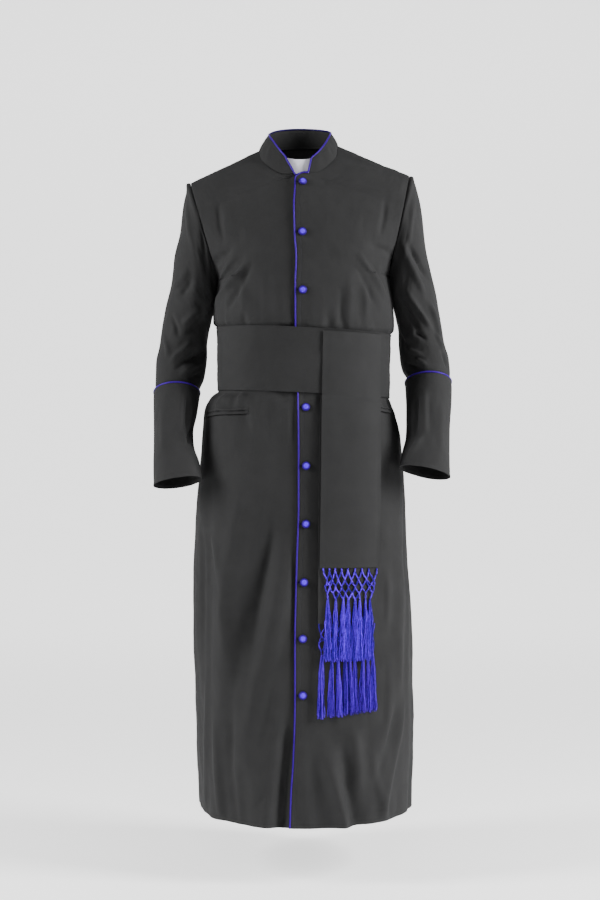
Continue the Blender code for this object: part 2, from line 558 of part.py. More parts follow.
def inward(grid, thick):
    """Inner face of a tube, each ring's points moved towards its own middle."""
    n = normals(grid, wrap=True)
    middle = grid.mean(axis=1, keepdims=True)
    if ((grid - middle) * n).sum() < 0:
        n = -n
    return grid - n * thick


def build_cuffs():
    turn = np.linspace(0, 2 * math.pi, SLEEVE_SIDES + 2, endpoint=False)[None, :]
    for side, word, table in ((-1, "right", CUFF_RIGHT), (1, "left", CUFF_LEFT)):
        along = np.linspace(0, 1, 7)
        grid = tube(table, CUFF_NAMES, side, along[:, None], turn)
        wall("cuff_" + word, grid, inward(grid, WALL), CHARCOAL, wrap=True)
        ring = tube(table, CUFF_NAMES, side, np.zeros((1, 1)),
                    np.linspace(0, 2 * math.pi, 24, endpoint=False)[None, :])[0]
        ring = ring + (ring.mean(axis=0) - ring) * 0.016
        ring[:, 2] += PIPING_R + SEAM + 0.0006
        cord("piping_cuff_" + word, ring, PIPING_R, BLUE, closed=True)


def neckline():
    """Neckline seam through the panels' own points: notch, round the back, notch."""
    parts = []
    for side, face in ((-1, -1), (-1, 1), (1, 1), (1, -1)):
        rows = yoke_rows(face)
        rows = rows[rows >= (PIT_ROW if face < 0 else NAPE_ROW) - 1e-9]
        line = centre_line(side, face, rows)      # shoulder first
        parts.append(line[::-1] if (side, face) in ((-1, -1), (1, 1)) else line)
    right, left = parts[0], parts[3]
    right = np.vstack([cut_at(right, edge_x(0.0645) - 0.0042), right[right[:, 0] < -0.016]])
    left = np.vstack([left[left[:, 0] > CORNER_X + 0.003], cut_at(left[::-1], CORNER_X)])
    return np.vstack([right, parts[1][1:], parts[2][1:], left[1:]])


def cut_at(line, x):
    order = np.argsort(line[:, 0])
    return np.array([[x] + [np.interp(x, line[order, 0], line[order, k]) for k in (1, 2)]])


def collar_grid(rows):
    base = neckline()
    run = np.concatenate([[0], np.cumsum(np.linalg.norm(np.diff(base, axis=0), axis=1))])
    top = through([(x, d, -z) for x, d, z in COLLAR_TOP], run / run[-1])
    up = top - base
    base = base + up / np.linalg.norm(up, axis=1, keepdims=True) * 0.0008
    v = np.linspace(0, 1, rows)[:, None, None]
    return top[None] * (1 - v) + base[None] * v


def build_collar():
    grid = collar_grid(4)
    n = outward(normals(grid), grid)
    wall("collar", grid, grid - n * WALL, CHARCOAL)
    # piping: up each end of the notch, then along the top edge to the middle of the back
    away = PIPING_R + SEAM + 0.0004
    middle = int(np.argmin(np.abs(grid[0, :, 0]) + (grid[0, :, 1] < 0)))
    rise = grid[0] - grid[1]
    run = np.gradient(grid[0], axis=0)
    run = run / np.linalg.norm(run, axis=1, keepdims=True)
    rise = rise - run * (rise * run).sum(axis=1, keepdims=True)
    rise = rise / np.linalg.norm(rise, axis=1, keepdims=True)
    crest_all = grid[0] - n[0] * WALL / 2 + rise * away
    for word, order in (("right", 1), ("left", -1)):
        end, end_n = (g[::-1, 0 if order > 0 else -1] for g in (grid, n))
        crest = crest_all[:middle + 1] if order > 0 else crest_all[:middle - 1:-1]
        upright = end - end_n * WALL / 2 + np.array([order * away, 0, 0])
        low = upright[0] + (upright[1] - upright[0]) * 0.42
        corner = upright[-1] * 0.35 + crest[0] * 0.65 + np.array([order * away * 0.5, 0, 0])
        path = np.vstack([[low], upright[1:-1], [corner], crest[1:]])
        path[-1, 0] -= order * 0.0006
        cord("piping_collar_" + word, path, PIPING_R, BLUE)
    # white strip slipped in behind the notch
    x = np.linspace(-0.0345, 0.0335, 9)
    v = np.linspace(0, 1, 4)[:, None]
    lift = 0.0040 * (x / 0.034) ** 2
    top_drop, low_drop = 0.0335 - lift * 1.6, 0.0700 + 0 * x
    drop = top_drop * (1 - v) + low_drop * v
    y = -0.0815 + (0.0720 - drop) * 0.235 + 5.4 * x**2
    tab = np.stack([np.repeat(x[None], 4, axis=0), y, -drop], axis=-1)
    tn = outward(normals(tab), tab)
    wall("collar_tab", tab, tab - tn * 0.0010, WHITE)


def build_band():
    parts = np.linspace(0, 1, BODY_COLS + 1)
    drops = np.linspace(BAND_TOP, BAND_LOW, 5)[:, None]
    around = []
    for side, face, turned in ((1, -1, False), (1, 1, True), (-1, 1, False), (-1, -1, True)):
        g = skirt(side, face, drops, parts[None, :] * math.pi / 2)
        g = g[:, ::-1] if turned else g
        around.append(g[:, :-1])
    grid = np.concatenate(around, axis=1)
    n = outward(normals(grid, wrap=True), grid)
    wall("cincture_band", grid + n * BAND_OUT, grid + n * (BAND_OUT - WALL), CHARCOAL, wrap=True)


def build_falls():
    strip("fall_top", FALL_TOP, 7, WALL, CHARCOAL)
    strip("fall_under", FALL_UNDER, 7, WALL, CHARCOAL)
    strip("fringe_top", FRINGE_TOP, 6, FRINGE_THICK, BLUE)
    strip("fringe_under", FRINGE_UNDER, 6, FRINGE_THICK, BLUE)


def build_pockets():
    for name, x_front, x_side, drop_front, drop_side in POCKETS:
        u = np.linspace(0, 1, 11)
        x = across(x_front, x_side, drop_front, u)
        drop = (drop_front + (drop_side - drop_front) * u)[None, :] + np.linspace(
            -POCKET_HALF, POCKET_HALF, 3)[:, None]
        base, n = front_at(np.repeat(x[None, :], 3, axis=0), drop, 0.0)
        wall(name, base + n * 0.0024, base + n * 0.0013, CHARCOAL)


def build_front_piping(made):
    outer, inner = made["front_left"]
    rows_below = [i for i in range(len(outer)) if outer[i, 0, 0] < 0.0]
    n = (outer[:, 0] - inner[:, 0]) / WALL
    away = PIPING_R + SEAM + 0.0003
    line = [outer[i, 0] - n[i] * 0.0010 + np.array([-away, 0, 0]) for i in rows_below]
    # along the notch's bottom, from the collar's left end to the corner
    up = []
    for x in np.linspace(CORNER_X - 0.0005, edge_x(0.0645) + 0.002, 5):
        y, z = np.interp(x, *notch_edge(outer, 1)), np.interp(x, *notch_edge(outer, 2))
        up.append(np.array([x, y + 0.0010, z + away + 0.0006]))
    corner = np.array([edge_x(0.0645) - away * 0.9, up[-1][1], up[-1][2] - away * 0.2])
    path = np.vstack([up, [corner], line[1:]])
    path[-1, 2] += 0.0002
    cord("piping_front", path, PIPING_R, BLUE)


def notch_edge(outer, k):
    """Top edge of the upper front near the notch, by x."""
    rows = [i for i in range(len(outer)) if outer[i, 0, 0] < 0.05 and outer[i, 0, 2] > -0.08]
    xs = np.array([outer[i, 0, 0] for i in rows])
    order = np.argsort(xs)
    return xs[order], np.array([outer[i, 0, k] for i in rows])[order]


def build_buttons():
    profile_names = ("radius", "height")
    profile = ((0.0, 1.0), (0.45, 0.93), (0.80, 0.68), (0.98, 0.36), (1.0, 0.22), (0.93, 0.0),
               (0.0, 0.0))
    for name, drop in BUTTONS:
        x = float(edge_x(drop)) + BUTTON_INSET
        if drop < 0.285:
            depth = smooth(drop, column(CENTRE_FRONT, CENTRE_FRONT_NAMES, "drop"),
                           column(CENTRE_FRONT, CENTRE_FRONT_NAMES, "depth"))
            ahead = smooth(drop - 0.01, column(CENTRE_FRONT, CENTRE_FRONT_NAMES, "drop"),
                           column(CENTRE_FRONT, CENTRE_FRONT_NAMES, "depth"))
            lean = math.atan2(float(depth - ahead), 0.01)
            at = np.array([x, -float(depth), -drop])
            n = np.array([0.0, -math.cos(lean), math.sin(lean)])
        else:
            at, n = front_at(x, drop, 0.0)
        bm = bmesh.new()
        sides = 10
        rings = []
        for r, h in profile:
            if r == 0:
                rings.append([bm.verts.new((0, 0, h * BUTTON_HIGH))])
            else:
                rings.append([bm.verts.new((r * BUTTON_R * math.cos(2 * math.pi * k / sides),
                                            r * BUTTON_R * math.sin(2 * math.pi * k / sides),
                                            h * BUTTON_HIGH)) for k in range(sides)])
        for a, b in zip(rings, rings[1:]):
            for k in range(sides):
                m = (k + 1) % sides
                if len(a) == 1:
                    bm.faces.new((a[0], b[k], b[m]))
                elif len(b) == 1:
                    bm.faces.new((a[k], b[0], a[m]))
                else:
                    bm.faces.new((a[k], b[k], b[m], a[m]))
        bmesh.ops.recalc_face_normals(bm, faces=bm.faces)
        if bm.calc_volume(signed=True) < 0:
            bmesh.ops.reverse_faces(bm, faces=bm.faces)
        mesh = bpy.data.meshes.new(name)
        bm.to_mesh(mesh)
        bm.free()
        obj = finish(name, mesh, BLUE, 0.4, 60)
        up = np.array(n, float)
        right = np.cross((0, 0, 1.0), up)
        right /= np.linalg.norm(right)
        fwd = np.cross(up, right)
        at = np.asarray(at, float) + up * 0.0010
        obj.matrix_world = Matrix(((right[0], fwd[0], up[0], at[0]), (right[1], fwd[1], up[1], at[1]),
                                   (right[2], fwd[2], up[2], at[2]), (0, 0, 0, 1)))


def main():
    for obj in list(bpy.data.objects):
        bpy.data.objects.remove(obj, do_unlink=True)
    made = build_body()
    build_sleeves()
    build_cuffs()
    build_collar()
    build_front_piping(made)
    build_band()
    build_falls()
    build_pockets()
    build_buttons()


main()
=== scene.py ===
"""Looks of the clergy robe: fine cloth shells with their folds, seams and stitching, blue piping,
covered buttons, knotted fringes, materials, light and camera, all in the model's own frame."""

import math

import bpy
import numpy as np
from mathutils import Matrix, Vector


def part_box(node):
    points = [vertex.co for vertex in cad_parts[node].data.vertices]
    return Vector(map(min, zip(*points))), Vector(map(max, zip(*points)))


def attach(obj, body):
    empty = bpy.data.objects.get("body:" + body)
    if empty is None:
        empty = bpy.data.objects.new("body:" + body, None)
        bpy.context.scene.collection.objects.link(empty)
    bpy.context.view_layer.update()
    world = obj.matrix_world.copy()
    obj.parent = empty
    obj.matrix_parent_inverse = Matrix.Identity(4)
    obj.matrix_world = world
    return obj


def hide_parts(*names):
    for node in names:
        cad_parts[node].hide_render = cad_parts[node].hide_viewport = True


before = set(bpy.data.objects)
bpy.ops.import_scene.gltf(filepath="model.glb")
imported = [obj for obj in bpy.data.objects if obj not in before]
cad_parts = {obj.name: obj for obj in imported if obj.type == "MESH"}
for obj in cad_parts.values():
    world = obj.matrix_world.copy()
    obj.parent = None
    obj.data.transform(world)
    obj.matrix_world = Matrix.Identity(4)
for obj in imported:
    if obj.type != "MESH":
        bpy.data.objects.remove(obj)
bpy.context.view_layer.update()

# ------------------------------------------------------------------ driving dimensions
WALL = 0.0018            # thickness of the cloth walls
SEAM = 0.0003            # gap between pieces at a seam
ROUND = 2.2              # exponent of the body sections: 2 is an ellipse, more is squarer
LAP_DIP = 0.0038         # how far the under front lies below the upper one
UNDERLAP_X = 0.035       # the under front reaches this far past the middle
PIPING_R = 0.0016        # piping cord radius
CORNER_X = 0.0190        # right end of the notch's bottom edge
BAND_TOP, BAND_LOW = 0.3985, 0.5375
BAND_OUT = 0.0034        # band's outer face above the robe
BUTTON_R, BUTTON_HIGH, BUTTON_INSET = 0.0090, 0.0062, 0.0145
PIT_ROW, NAPE_ROW = 0.60, 0.80   # where the neckline starts on the front and back yokes
HEM = 1.445
HEM_RISE = 0.009         # the hem is this much higher at the sides

BODY_ROWS, BODY_COLS = 21, 10
SLEEVE_ROWS, SLEEVE_SIDES = 13, 14

# ------------------------------------------------------------------ section tables
# one row per section of the body, below the underarm
BODY_NAMES = ("drop", "half_right", "half_left", "front", "back", "tilt")
BODY = (
    (0.285, 0.1783, 0.1926, 0.140, 0.118, 0.028),
    (0.308, 0.1812, 0.1965, 0.141, 0.116, 0.015),
    (0.345, 0.1884, 0.2043, 0.140, 0.112, -0.020),
    (0.374, 0.1895, 0.2068, 0.138, 0.108, -0.045),
    (0.389, 0.1880, 0.2055, 0.135, 0.105, -0.045),
    (0.402, 0.1800, 0.1965, 0.130, 0.100, -0.045),
    (0.460, 0.1790, 0.1952, 0.128, 0.098, -0.045),
    (0.541, 0.1785, 0.1942, 0.130, 0.104, -0.045),
    (0.556, 0.1960, 0.2000, 0.136, 0.112, -0.045),
    (0.580, 0.2080, 0.2078, 0.141, 0.121, -0.040),
    (0.616, 0.2120, 0.2180, 0.143, 0.130, -0.020),
    (0.660, 0.2170, 0.2235, 0.145, 0.138, 0.000),
    (0.704, 0.2210, 0.2270, 0.148, 0.145, 0.0),
    (0.814, 0.2300, 0.2320, 0.157, 0.155, 0.0),
    (0.990, 0.2340, 0.2430, 0.174, 0.171, 0.0),
    (1.166, 0.2295, 0.2490, 0.190, 0.188, 0.0),
    (1.342, 0.2245, 0.2480, 0.204, 0.205, 0.0),
    (1.445, 0.2200, 0.2450, 0.212, 0.217, 0.0),
)
# centre front and centre back above the underarm
CENTRE_FRONT_NAMES = ("drop", "depth")
CENTRE_FRONT = ((0.0645, 0.088), (0.100, 0.106), (0.150, 0.126), (0.220, 0.1385), (0.285, 0.140))
CENTRE_BACK_NAMES = ("drop", "depth")
CENTRE_BACK = ((-0.018, 0.075), (0.030, 0.090), (0.080, 0.104), (0.150, 0.116), (0.200, 0.120),
               (0.285, 0.118))
# how far round the body's curve a yoke row reaches, from the underarm (0) to the shoulder (1)
ARCH_NAMES = ("row", "degrees")
ARCH = ((0.0, 90.0), (0.25, 72.0), (0.50, 58.0), (0.75, 52.0), (1.0, 50.0))
# neckline seam from centre front to the shoulder, each side, then round the back
NECK_NAMES = ("x", "depth", "drop")
NECK_RIGHT = ((0.0000, -0.0880, 0.0645), (0.0300, -0.0850, 0.0665), (0.0530, -0.0770, 0.0590),
              (0.0765, -0.0560, 0.0395), (0.0865, -0.0340, 0.0245), (0.0905, -0.0120, 0.0070),
              (0.0910, 0.0000, 0.0020))
NECK_LEFT = ((0.0000, -0.0880, 0.0645), (0.0273, -0.0850, 0.0650), (0.0473, -0.0780, 0.0577),
             (0.0714, -0.0580, 0.0348), (0.0801, -0.0360, 0.0190), (0.0834, -0.0120, -0.0030),
             (0.0847, 0.0000, -0.0093))
NAPE_RIGHT = ((0.0000, 0.0750, -0.0180), (0.0350, 0.0700, -0.0160), (0.0640, 0.0520, -0.0100),
              (0.0830, 0.0260, -0.0030), (0.0910, 0.0000, 0.0020))
NAPE_LEFT = ((0.0000, 0.0750, -0.0180), (0.0330, 0.0700, -0.0180), (0.0600, 0.0520, -0.0160),
             (0.0780, 0.0260, -0.0120), (0.0847, 0.0000, -0.0093))
# sleeves: outer line, inner line, middle depth, front and back half depth, rise of the front
SLEEVE_NAMES = ("along", "out_x", "out_drop", "in_x", "in_drop", "mid", "front", "back", "lean")
SLEEVE_RIGHT = (
    (0.00, 0.2408, 0.0732, 0.1783, 0.2902, 0.002, 0.066, 0.070, 0.000),
    (0.03, 0.2483, 0.0776, 0.1797, 0.2935, 0.002, 0.067, 0.071, 0.000),
    (0.07, 0.2512, 0.0943, 0.1808, 0.3001, 0.002, 0.067, 0.071, 0.000),
    (0.15, 0.2585, 0.1272, 0.1828, 0.3121, 0.003, 0.066, 0.070, 0.000),
    (0.25, 0.2630, 0.1753, 0.1860, 0.3295, 0.005, 0.066, 0.069, 0.000),
    (0.38, 0.2756, 0.2345, 0.1904, 0.3524, 0.008, 0.065, 0.067, 0.000),
    (0.52, 0.2825, 0.2914, 0.1968, 0.3786, 0.012, 0.063, 0.064, 0.003),
    (0.66, 0.2972, 0.3551, 0.2042, 0.4125, 0.016, 0.060, 0.061, 0.008),
    (0.80, 0.3094, 0.4291, 0.2064, 0.4611, 0.013, 0.056, 0.057, 0.014),
    (0.90, 0.3177, 0.4747, 0.2122, 0.4990, 0.006, 0.053, 0.053, 0.020),
    (0.96, 0.3182, 0.5080, 0.2215, 0.5200, -0.002, 0.050, 0.050, 0.022),
    (1.00, 0.3155, 0.5300, 0.2255, 0.5385, -0.007, 0.0455, 0.0455, 0.022),
    (1.05, 0.3130, 0.5500, 0.2285, 0.5560, -0.015, 0.0430, 0.0430, 0.022),
)
SLEEVE_LEFT = (
    (0.00, 0.2399, 0.0580, 0.1926, 0.2799, 0.002, 0.066, 0.070, 0.000),
    (0.03, 0.2483, 0.0613, 0.1940, 0.2832, 0.002, 0.067, 0.071, 0.000),
    (0.07, 0.2540, 0.0756, 0.1954, 0.2891, 0.002, 0.067, 0.071, 0.000),
    (0.15, 0.2620, 0.1096, 0.1974, 0.3011, 0.003, 0.066, 0.070, 0.000),
    (0.25, 0.2688, 0.1577, 0.2004, 0.3185, 0.005, 0.066, 0.069, 0.000),
    (0.38, 0.2778, 0.2168, 0.2058, 0.3414, 0.008, 0.065, 0.067, 0.000),
    (0.52, 0.2903, 0.2781, 0.2112, 0.3682, 0.012, 0.063, 0.064, 0.003),
    (0.66, 0.3060, 0.3484, 0.2174, 0.4015, 0.016, 0.060, 0.061, 0.008),
    (0.80, 0.3182, 0.4258, 0.2190, 0.4479, 0.013, 0.056, 0.057, 0.014),
    (0.90, 0.3276, 0.4650, 0.2238, 0.4813, 0.006, 0.053, 0.053, 0.020),
    (0.96, 0.3290, 0.4870, 0.2330, 0.4980, -0.002, 0.050, 0.050, 0.022),
    (1.00, 0.3270, 0.5090, 0.2365, 0.5165, -0.007, 0.0455, 0.0455, 0.022),
    (1.05, 0.3245, 0.5290, 0.2385, 0.5350, -0.015, 0.0430, 0.0430, 0.022),
)
CUFF_NAMES = SLEEVE_NAMES
CUFF_RIGHT = (
    (0.00, 0.3213, 0.5271, 0.2197, 0.5336, -0.004, 0.0520, 0.0520, 0.022),
    (0.25, 0.3191, 0.5791, 0.2251, 0.5770, -0.024, 0.0505, 0.0505, 0.020),
    (0.50, 0.3171, 0.6318, 0.2313, 0.6231, -0.046, 0.0490, 0.0490, 0.018),
    (0.60, 0.3163, 0.6535, 0.2296, 0.6492, -0.055, 0.0490, 0.0485, 0.017),
    (0.80, 0.3148, 0.6967, 0.2166, 0.6859, -0.076, 0.0490, 0.0480, 0.014),
    (1.00, 0.3127, 0.7373, 0.2086, 0.7212, -0.094, 0.0490, 0.0480, 0.012),
)
CUFF_LEFT = (
    (0.00, 0.3327, 0.5040, 0.2307, 0.5117, -0.004, 0.0520, 0.0520, 0.022),
    (0.25, 0.3300, 0.5551, 0.2310, 0.5507, -0.024, 0.0505, 0.0505, 0.020),
    (0.50, 0.3249, 0.6122, 0.2298, 0.6035, -0.046, 0.0490, 0.0490, 0.018),
    (0.60, 0.3234, 0.6383, 0.2280, 0.6318, -0.056, 0.0490, 0.0485, 0.017),
    (0.80, 0.3217, 0.6772, 0.2187, 0.6643, -0.078, 0.0490, 0.0480, 0.014),
    (1.00, 0.3206, 0.7190, 0.2120, 0.6965, -0.096, 0.0490, 0.0480, 0.012),
)
# the upper front's edge, which the piping follows from the notch to the hem
EDGE_NAMES = ("drop", "x")
EDGE = ((0.0645, -0.0086), (0.097, -0.0094), (0.127, -0.0113), (0.2045, -0.0093),
        (0.251, -0.0063), (0.309, -0.0084), (0.393, -0.0080), (0.540, -0.0025),
        (0.681, -0.0013), (0.778, -0.0013), (0.891, -0.0048), (1.061, -0.0088),
        (1.166, -0.0087), (1.311, -0.0131), (1.376, -0.0175), (1.445, -0.0199))
# top edge of the stand collar, from the notch round the back to the notch
COLLAR_NAMES = ("x", "depth", "drop")
COLLAR_TOP = ((-0.0310, -0.0760, 0.0310), (-0.0450, -0.0640, 0.0130), (-0.0590, -0.0440, -0.0090),
              (-0.0690, -0.0150, -0.0270), (-0.0690, 0.0150, -0.0370), (-0.0520, 0.0480, -0.0490),
              (-0.0270, 0.0640, -0.0550), (0.0000, 0.0685, -0.0565), (0.0270, 0.0640, -0.0550),
              (0.0520, 0.0480, -0.0500), (0.0680, 0.0150, -0.0400), (0.0675, -0.0150, -0.0290),
              (0.0570, -0.0440, -0.0060), (0.0410, -0.0660, 0.0170), (0.0250, -0.0770, 0.0320))
# largest folds of the skirt and chest: face is -1 front, 1 back; height is out (+) or in (-)
FOLD_NAMES = ("face", "x_top", "drop_top", "x_low", "drop_low", "width", "height")
FOLDS = (
    (-1, -0.046, 0.740, -0.146, 1.240, 0.024, -0.0090),
    (-1, -0.030, 0.840, -0.140, 1.400, 0.022, 0.0080),
    (-1, -0.160, 0.760, -0.175, 1.445, 0.026, 0.0055),
    (-1, -0.196, 0.700, -0.200, 1.300, 0.020, -0.0050),
    (-1, -0.014, 1.180, -0.040, 1.445, 0.018, -0.0060),
    (-1, 0.222, 0.900, 0.165, 1.400, 0.024, 0.0060),
    (-1, 0.104, 1.150, 0.124, 1.420, 0.022, 0.0060),
    (-1, 0.045, 1.230, 0.092, 1.445, 0.018, 0.0070),
    (-1, 0.085, 1.250, 0.120, 1.445, 0.018, -0.0060),
    (-1, -0.185, 0.339, -0.115, 0.258, 0.014, 0.0035),
    (1, -0.040, 0.680, -0.060, 1.445, 0.024, 0.0090),
    (1, 0.045, 0.720, 0.070, 1.445, 0.026, 0.0080),
    (1, -0.100, 0.800, -0.122, 1.445, 0.024, -0.0080),
    (1, 0.105, 0.760, 0.130, 1.445, 0.022, -0.0080),
    (1, -0.160, 0.720, -0.178, 1.445, 0.026, 0.0070),
    (1, 0.165, 0.860, 0.190, 1.445, 0.026, 0.0075),
    (1, 0.004, 0.900, 0.006, 1.445, 0.018, -0.0055),
)
# the two falls: drop, left and right edge on the front, outer face above the robe
FALL_NAMES = ("drop", "x_left", "x_right", "out")
FALL_TOP = ((0.404, 0.0486, 0.1690, 0.0068), (0.460, 0.0475, 0.1685, 0.0069),
            (0.530, 0.0460, 0.1670, 0.0072), (0.552, 0.0455, 0.1670, 0.0082),
            (0.610, 0.0445, 0.1665, 0.0102), (0.700, 0.0435, 0.1655, 0.0118),
            (0.800, 0.0420, 0.1640, 0.0124), (0.909, 0.0400, 0.1585, 0.0126))
FALL_UNDER = ((0.543, 0.0425, 0.1600, 0.0050), (0.610, 0.0410, 0.1600, 0.0070),
              (0.700, 0.0395, 0.1590, 0.0088), (0.860, 0.0380, 0.1580, 0.0096),
              (1.024, 0.0370, 0.1570, 0.0100))
FRINGE_TOP = ((0.9094, 0.0460, 0.1560, 0.0148), (0.975, 0.0490, 0.1500, 0.0148),
              (1.100, 0.0520, 0.1450, 0.0148))
FRINGE_UNDER = ((1.0244, 0.0370, 0.1540, 0.0099), (1.080, 0.0360, 0.1550, 0.0099),
                (1.215, 0.0330, 0.1560, 0.0099))
FRINGE_THICK = 0.0038
# jetted pockets: where the opening starts and ends on the front
POCKET_NAMES = ("name", "x_front", "x_side", "drop_front", "drop_side")
POCKETS = (("pocket_right", -0.1090, -0.1995, 0.5730, 0.5760),
           ("pocket_left", 0.1000, 0.1960, 0.5640, 0.5690))
POCKET_HALF = 0.0065
BUTTON_NAMES = ("name", "drop")
BUTTONS = (("button_1", 0.0860), ("button_2", 0.1975), ("button_3", 0.3207),
           ("button_4", 0.5700), ("button_5", 0.6935), ("button_6", 0.8160),
           ("button_7", 0.9380), ("button_8", 1.0550), ("button_9", 1.1720))


# ------------------------------------------------------------------ reading the tables
def column(table, names, name):
    return np.array([row[names.index(name)] for row in table], float)


def smooth(x, xs, ys):
    """Monotone cubic curve through (xs, ys), read at x."""
    x, xs, ys = np.asarray(x, float), np.asarray(xs, float), np.asarray(ys, float)
    step = np.diff(xs)
    rise = np.diff(ys) / step
    slope = np.zeros_like(ys)
    slope[0], slope[-1] = rise[0], rise[-1]
    for i in range(1, len(xs) - 1):
        if rise[i - 1] * rise[i] > 0:
            a, b = 2 * step[i] + step[i - 1], step[i] + 2 * step[i - 1]
            slope[i] = (a + b) / (a / rise[i - 1] + b / rise[i])
    i = np.clip(np.searchsorted(xs, x) - 1, 0, len(xs) - 2)
    t = np.clip((x - xs[i]) / step[i], 0.0, 1.0)
    return ((2 * t**3 - 3 * t**2 + 1) * ys[i] + (t**3 - 2 * t**2 + t) * step[i] * slope[i]
            + (3 * t**2 - 2 * t**3) * ys[i + 1] + (t**3 - t**2) * step[i] * slope[i + 1])


def through(points, u):
    """Catmull-Rom curve through points, read at fractions u of its length."""
    p = np.asarray(points, float)
    p = np.vstack([2 * p[0] - p[1], p, 2 * p[-1] - p[-2]])
    dense = []
    for i in range(1, len(p) - 2):
        for t in np.linspace(0, 1, 24, endpoint=False):
            dense.append(0.5 * (2 * p[i] + (p[i + 1] - p[i - 1]) * t
                                + (2 * p[i - 1] - 5 * p[i] + 4 * p[i + 1] - p[i + 2]) * t**2
                                + (3 * p[i] - p[i - 1] - 3 * p[i + 1] + p[i + 2]) * t**3))
    dense = np.array(dense + [p[-2]])
    run = np.concatenate([[0], np.cumsum(np.linalg.norm(np.diff(dense, axis=0), axis=1))])
    u = np.asarray(u, float) * run[-1]
    return np.stack([np.interp(u, run, dense[:, k]) for k in range(3)], axis=-1)


def ease(x):
    x = np.clip(x, 0.0, 1.0)
    return x * x * (3 - 2 * x)


def body_value(name, drop):
    return smooth(drop, column(BODY, BODY_NAMES, "drop"), column(BODY, BODY_NAMES, name))


def half(side, drop):
    return body_value("half_left" if side > 0 else "half_right", drop)


def edge_x(drop):
    return smooth(drop, column(EDGE, EDGE_NAMES, "drop"), column(EDGE, EDGE_NAMES, "x"))


# ------------------------------------------------------------------ the body's form
def folded(drop, around):
    """Sum of the folds as heights. around is the angle from centre front, + to the wearer's left."""
    drop, around = np.broadcast_arrays(np.asarray(drop, float), np.asarray(around, float))
    total = np.zeros_like(around)
    radius = (half(1, drop) + body_value("front", drop)) / 2
    for face, x_top, drop_top, x_low, drop_low, width, height in FOLDS:
        along = (drop - drop_top) / (drop_low - drop_top)
        x = x_top + (x_low - x_top) * np.clip(along, 0, 1)
        share = np.clip(np.abs(x) / np.where(x < 0, half(-1, drop), half(1, drop)), 0, 1)
        turn = np.arcsin(share ** (ROUND / 2))
        centre = np.sign(x) * (turn if face < 0 else math.pi - turn)
        apart = (around - centre + math.pi) % (2 * math.pi) - math.pi
        fade = ease(along / 0.35)
        if drop_low < HEM - 0.001:
            fade = fade * ease((1 - along) / 0.35)
        total = total + height * np.exp(-(apart * radius / width) ** 2) * fade
    return total


def hem_rise(drop, share):
    """How much the cloth sits higher towards the side seams, growing to the hem."""
    return HEM_RISE * ease((drop - 1.15) / 0.29) * share**2


def skirt(side, face, drop, angle):
    """Body below the underarm. angle runs from the centre (0) to the side seam (pi/2)."""
    drop, angle = np.broadcast_arrays(np.asarray(drop, float), np.asarray(angle, float))
    depth = body_value("front" if face < 0 else "back", drop)
    x = side * half(side, drop) * np.abs(np.sin(angle)) ** (2 / ROUND)
    y = face * depth * np.clip(np.cos(angle), 0, 1) ** (2 / ROUND)
    z = -drop + body_value("tilt", drop) * x + hem_rise(drop, x / half(side, drop))
    return np.stack([x, y, z], axis=-1)


def tube(table, names, side, along, turn):
    """Sleeve or cuff. turn 0 is the outer line, pi/2 the front, pi the inner line."""
    value = {n: smooth(along, column(table, names, "along"), column(table, names, n))
             for n in names[1:]}
    c, s = np.cos(turn), np.sin(turn)
    x = (value["out_x"] + value["in_x"]) / 2 + (value["out_x"] - value["in_x"]) / 2 * c
    drop = (value["out_drop"] + value["in_drop"]) / 2 + (value["out_drop"] - value["in_drop"]) / 2 * c
    y = value["mid"] - np.where(s > 0, value["front"], value["back"]) * s
    return np.stack([side * x, y, -drop + value["lean"] * s], axis=-1)


def armhole(side, face, row):
    table = SLEEVE_LEFT if side > 0 else SLEEVE_RIGHT
    turn = math.pi * (1 - np.asarray(row, float)) * (-face)
    return tube(table, SLEEVE_NAMES, side, 0.0 * turn, turn)


def centre_line(side, face, row):
    """Centre line up to the neck, then along the neckline to the shoulder."""
    start = PIT_ROW if face < 0 else NAPE_ROW
    table = CENTRE_FRONT if face < 0 else CENTRE_BACK
    names = CENTRE_FRONT_NAMES if face < 0 else CENTRE_BACK_NAMES
    neck = {(-1, -1): NECK_RIGHT, (1, -1): NECK_LEFT, (-1, 1): NAPE_RIGHT, (1, 1): NAPE_LEFT}
    out = []
    for r in np.atleast_1d(row):
        if r <= start:
            drop = table[-1][0] + (table[0][0] - table[-1][0]) * r / start
            depth = smooth(drop, column(table, names, "drop"), column(table, names, "depth"))
            out.append((0.0, face * float(depth), -drop))
        else:
            x, depth, drop = through(neck[(side, face)], (r - start) / (1 - start))
            out.append((side * x, depth, -drop))
    return np.array(out)


def yoke(side, face, row, part):
    """Body above the underarm: row 0 underarm to 1 shoulder, part 0 centre to 1 armhole."""
    row = np.atleast_1d(row)
    a, b = centre_line(side, face, row)[:, None, :], armhole(side, face, row)[:, None, :]
    most = np.radians(smooth(row, column(ARCH, ARCH_NAMES, "row"),
                             column(ARCH, ARCH_NAMES, "degrees")))[:, None]
    angle = np.asarray(part, float)[None, :] * most
    p = 2 / ROUND
    share = (np.sin(angle) / np.sin(most)) ** p
    bend = (1 - np.cos(angle).clip(0, 1) ** p) / (1 - np.cos(most).clip(0, 1) ** p)
    x = a[..., 0] + (b[..., 0] - a[..., 0]) * share
    z = a[..., 2] + (b[..., 2] - a[..., 2]) * share
    y = a[..., 1] + (b[..., 1] - a[..., 1]) * bend
    return np.stack([x, y, z], axis=-1)


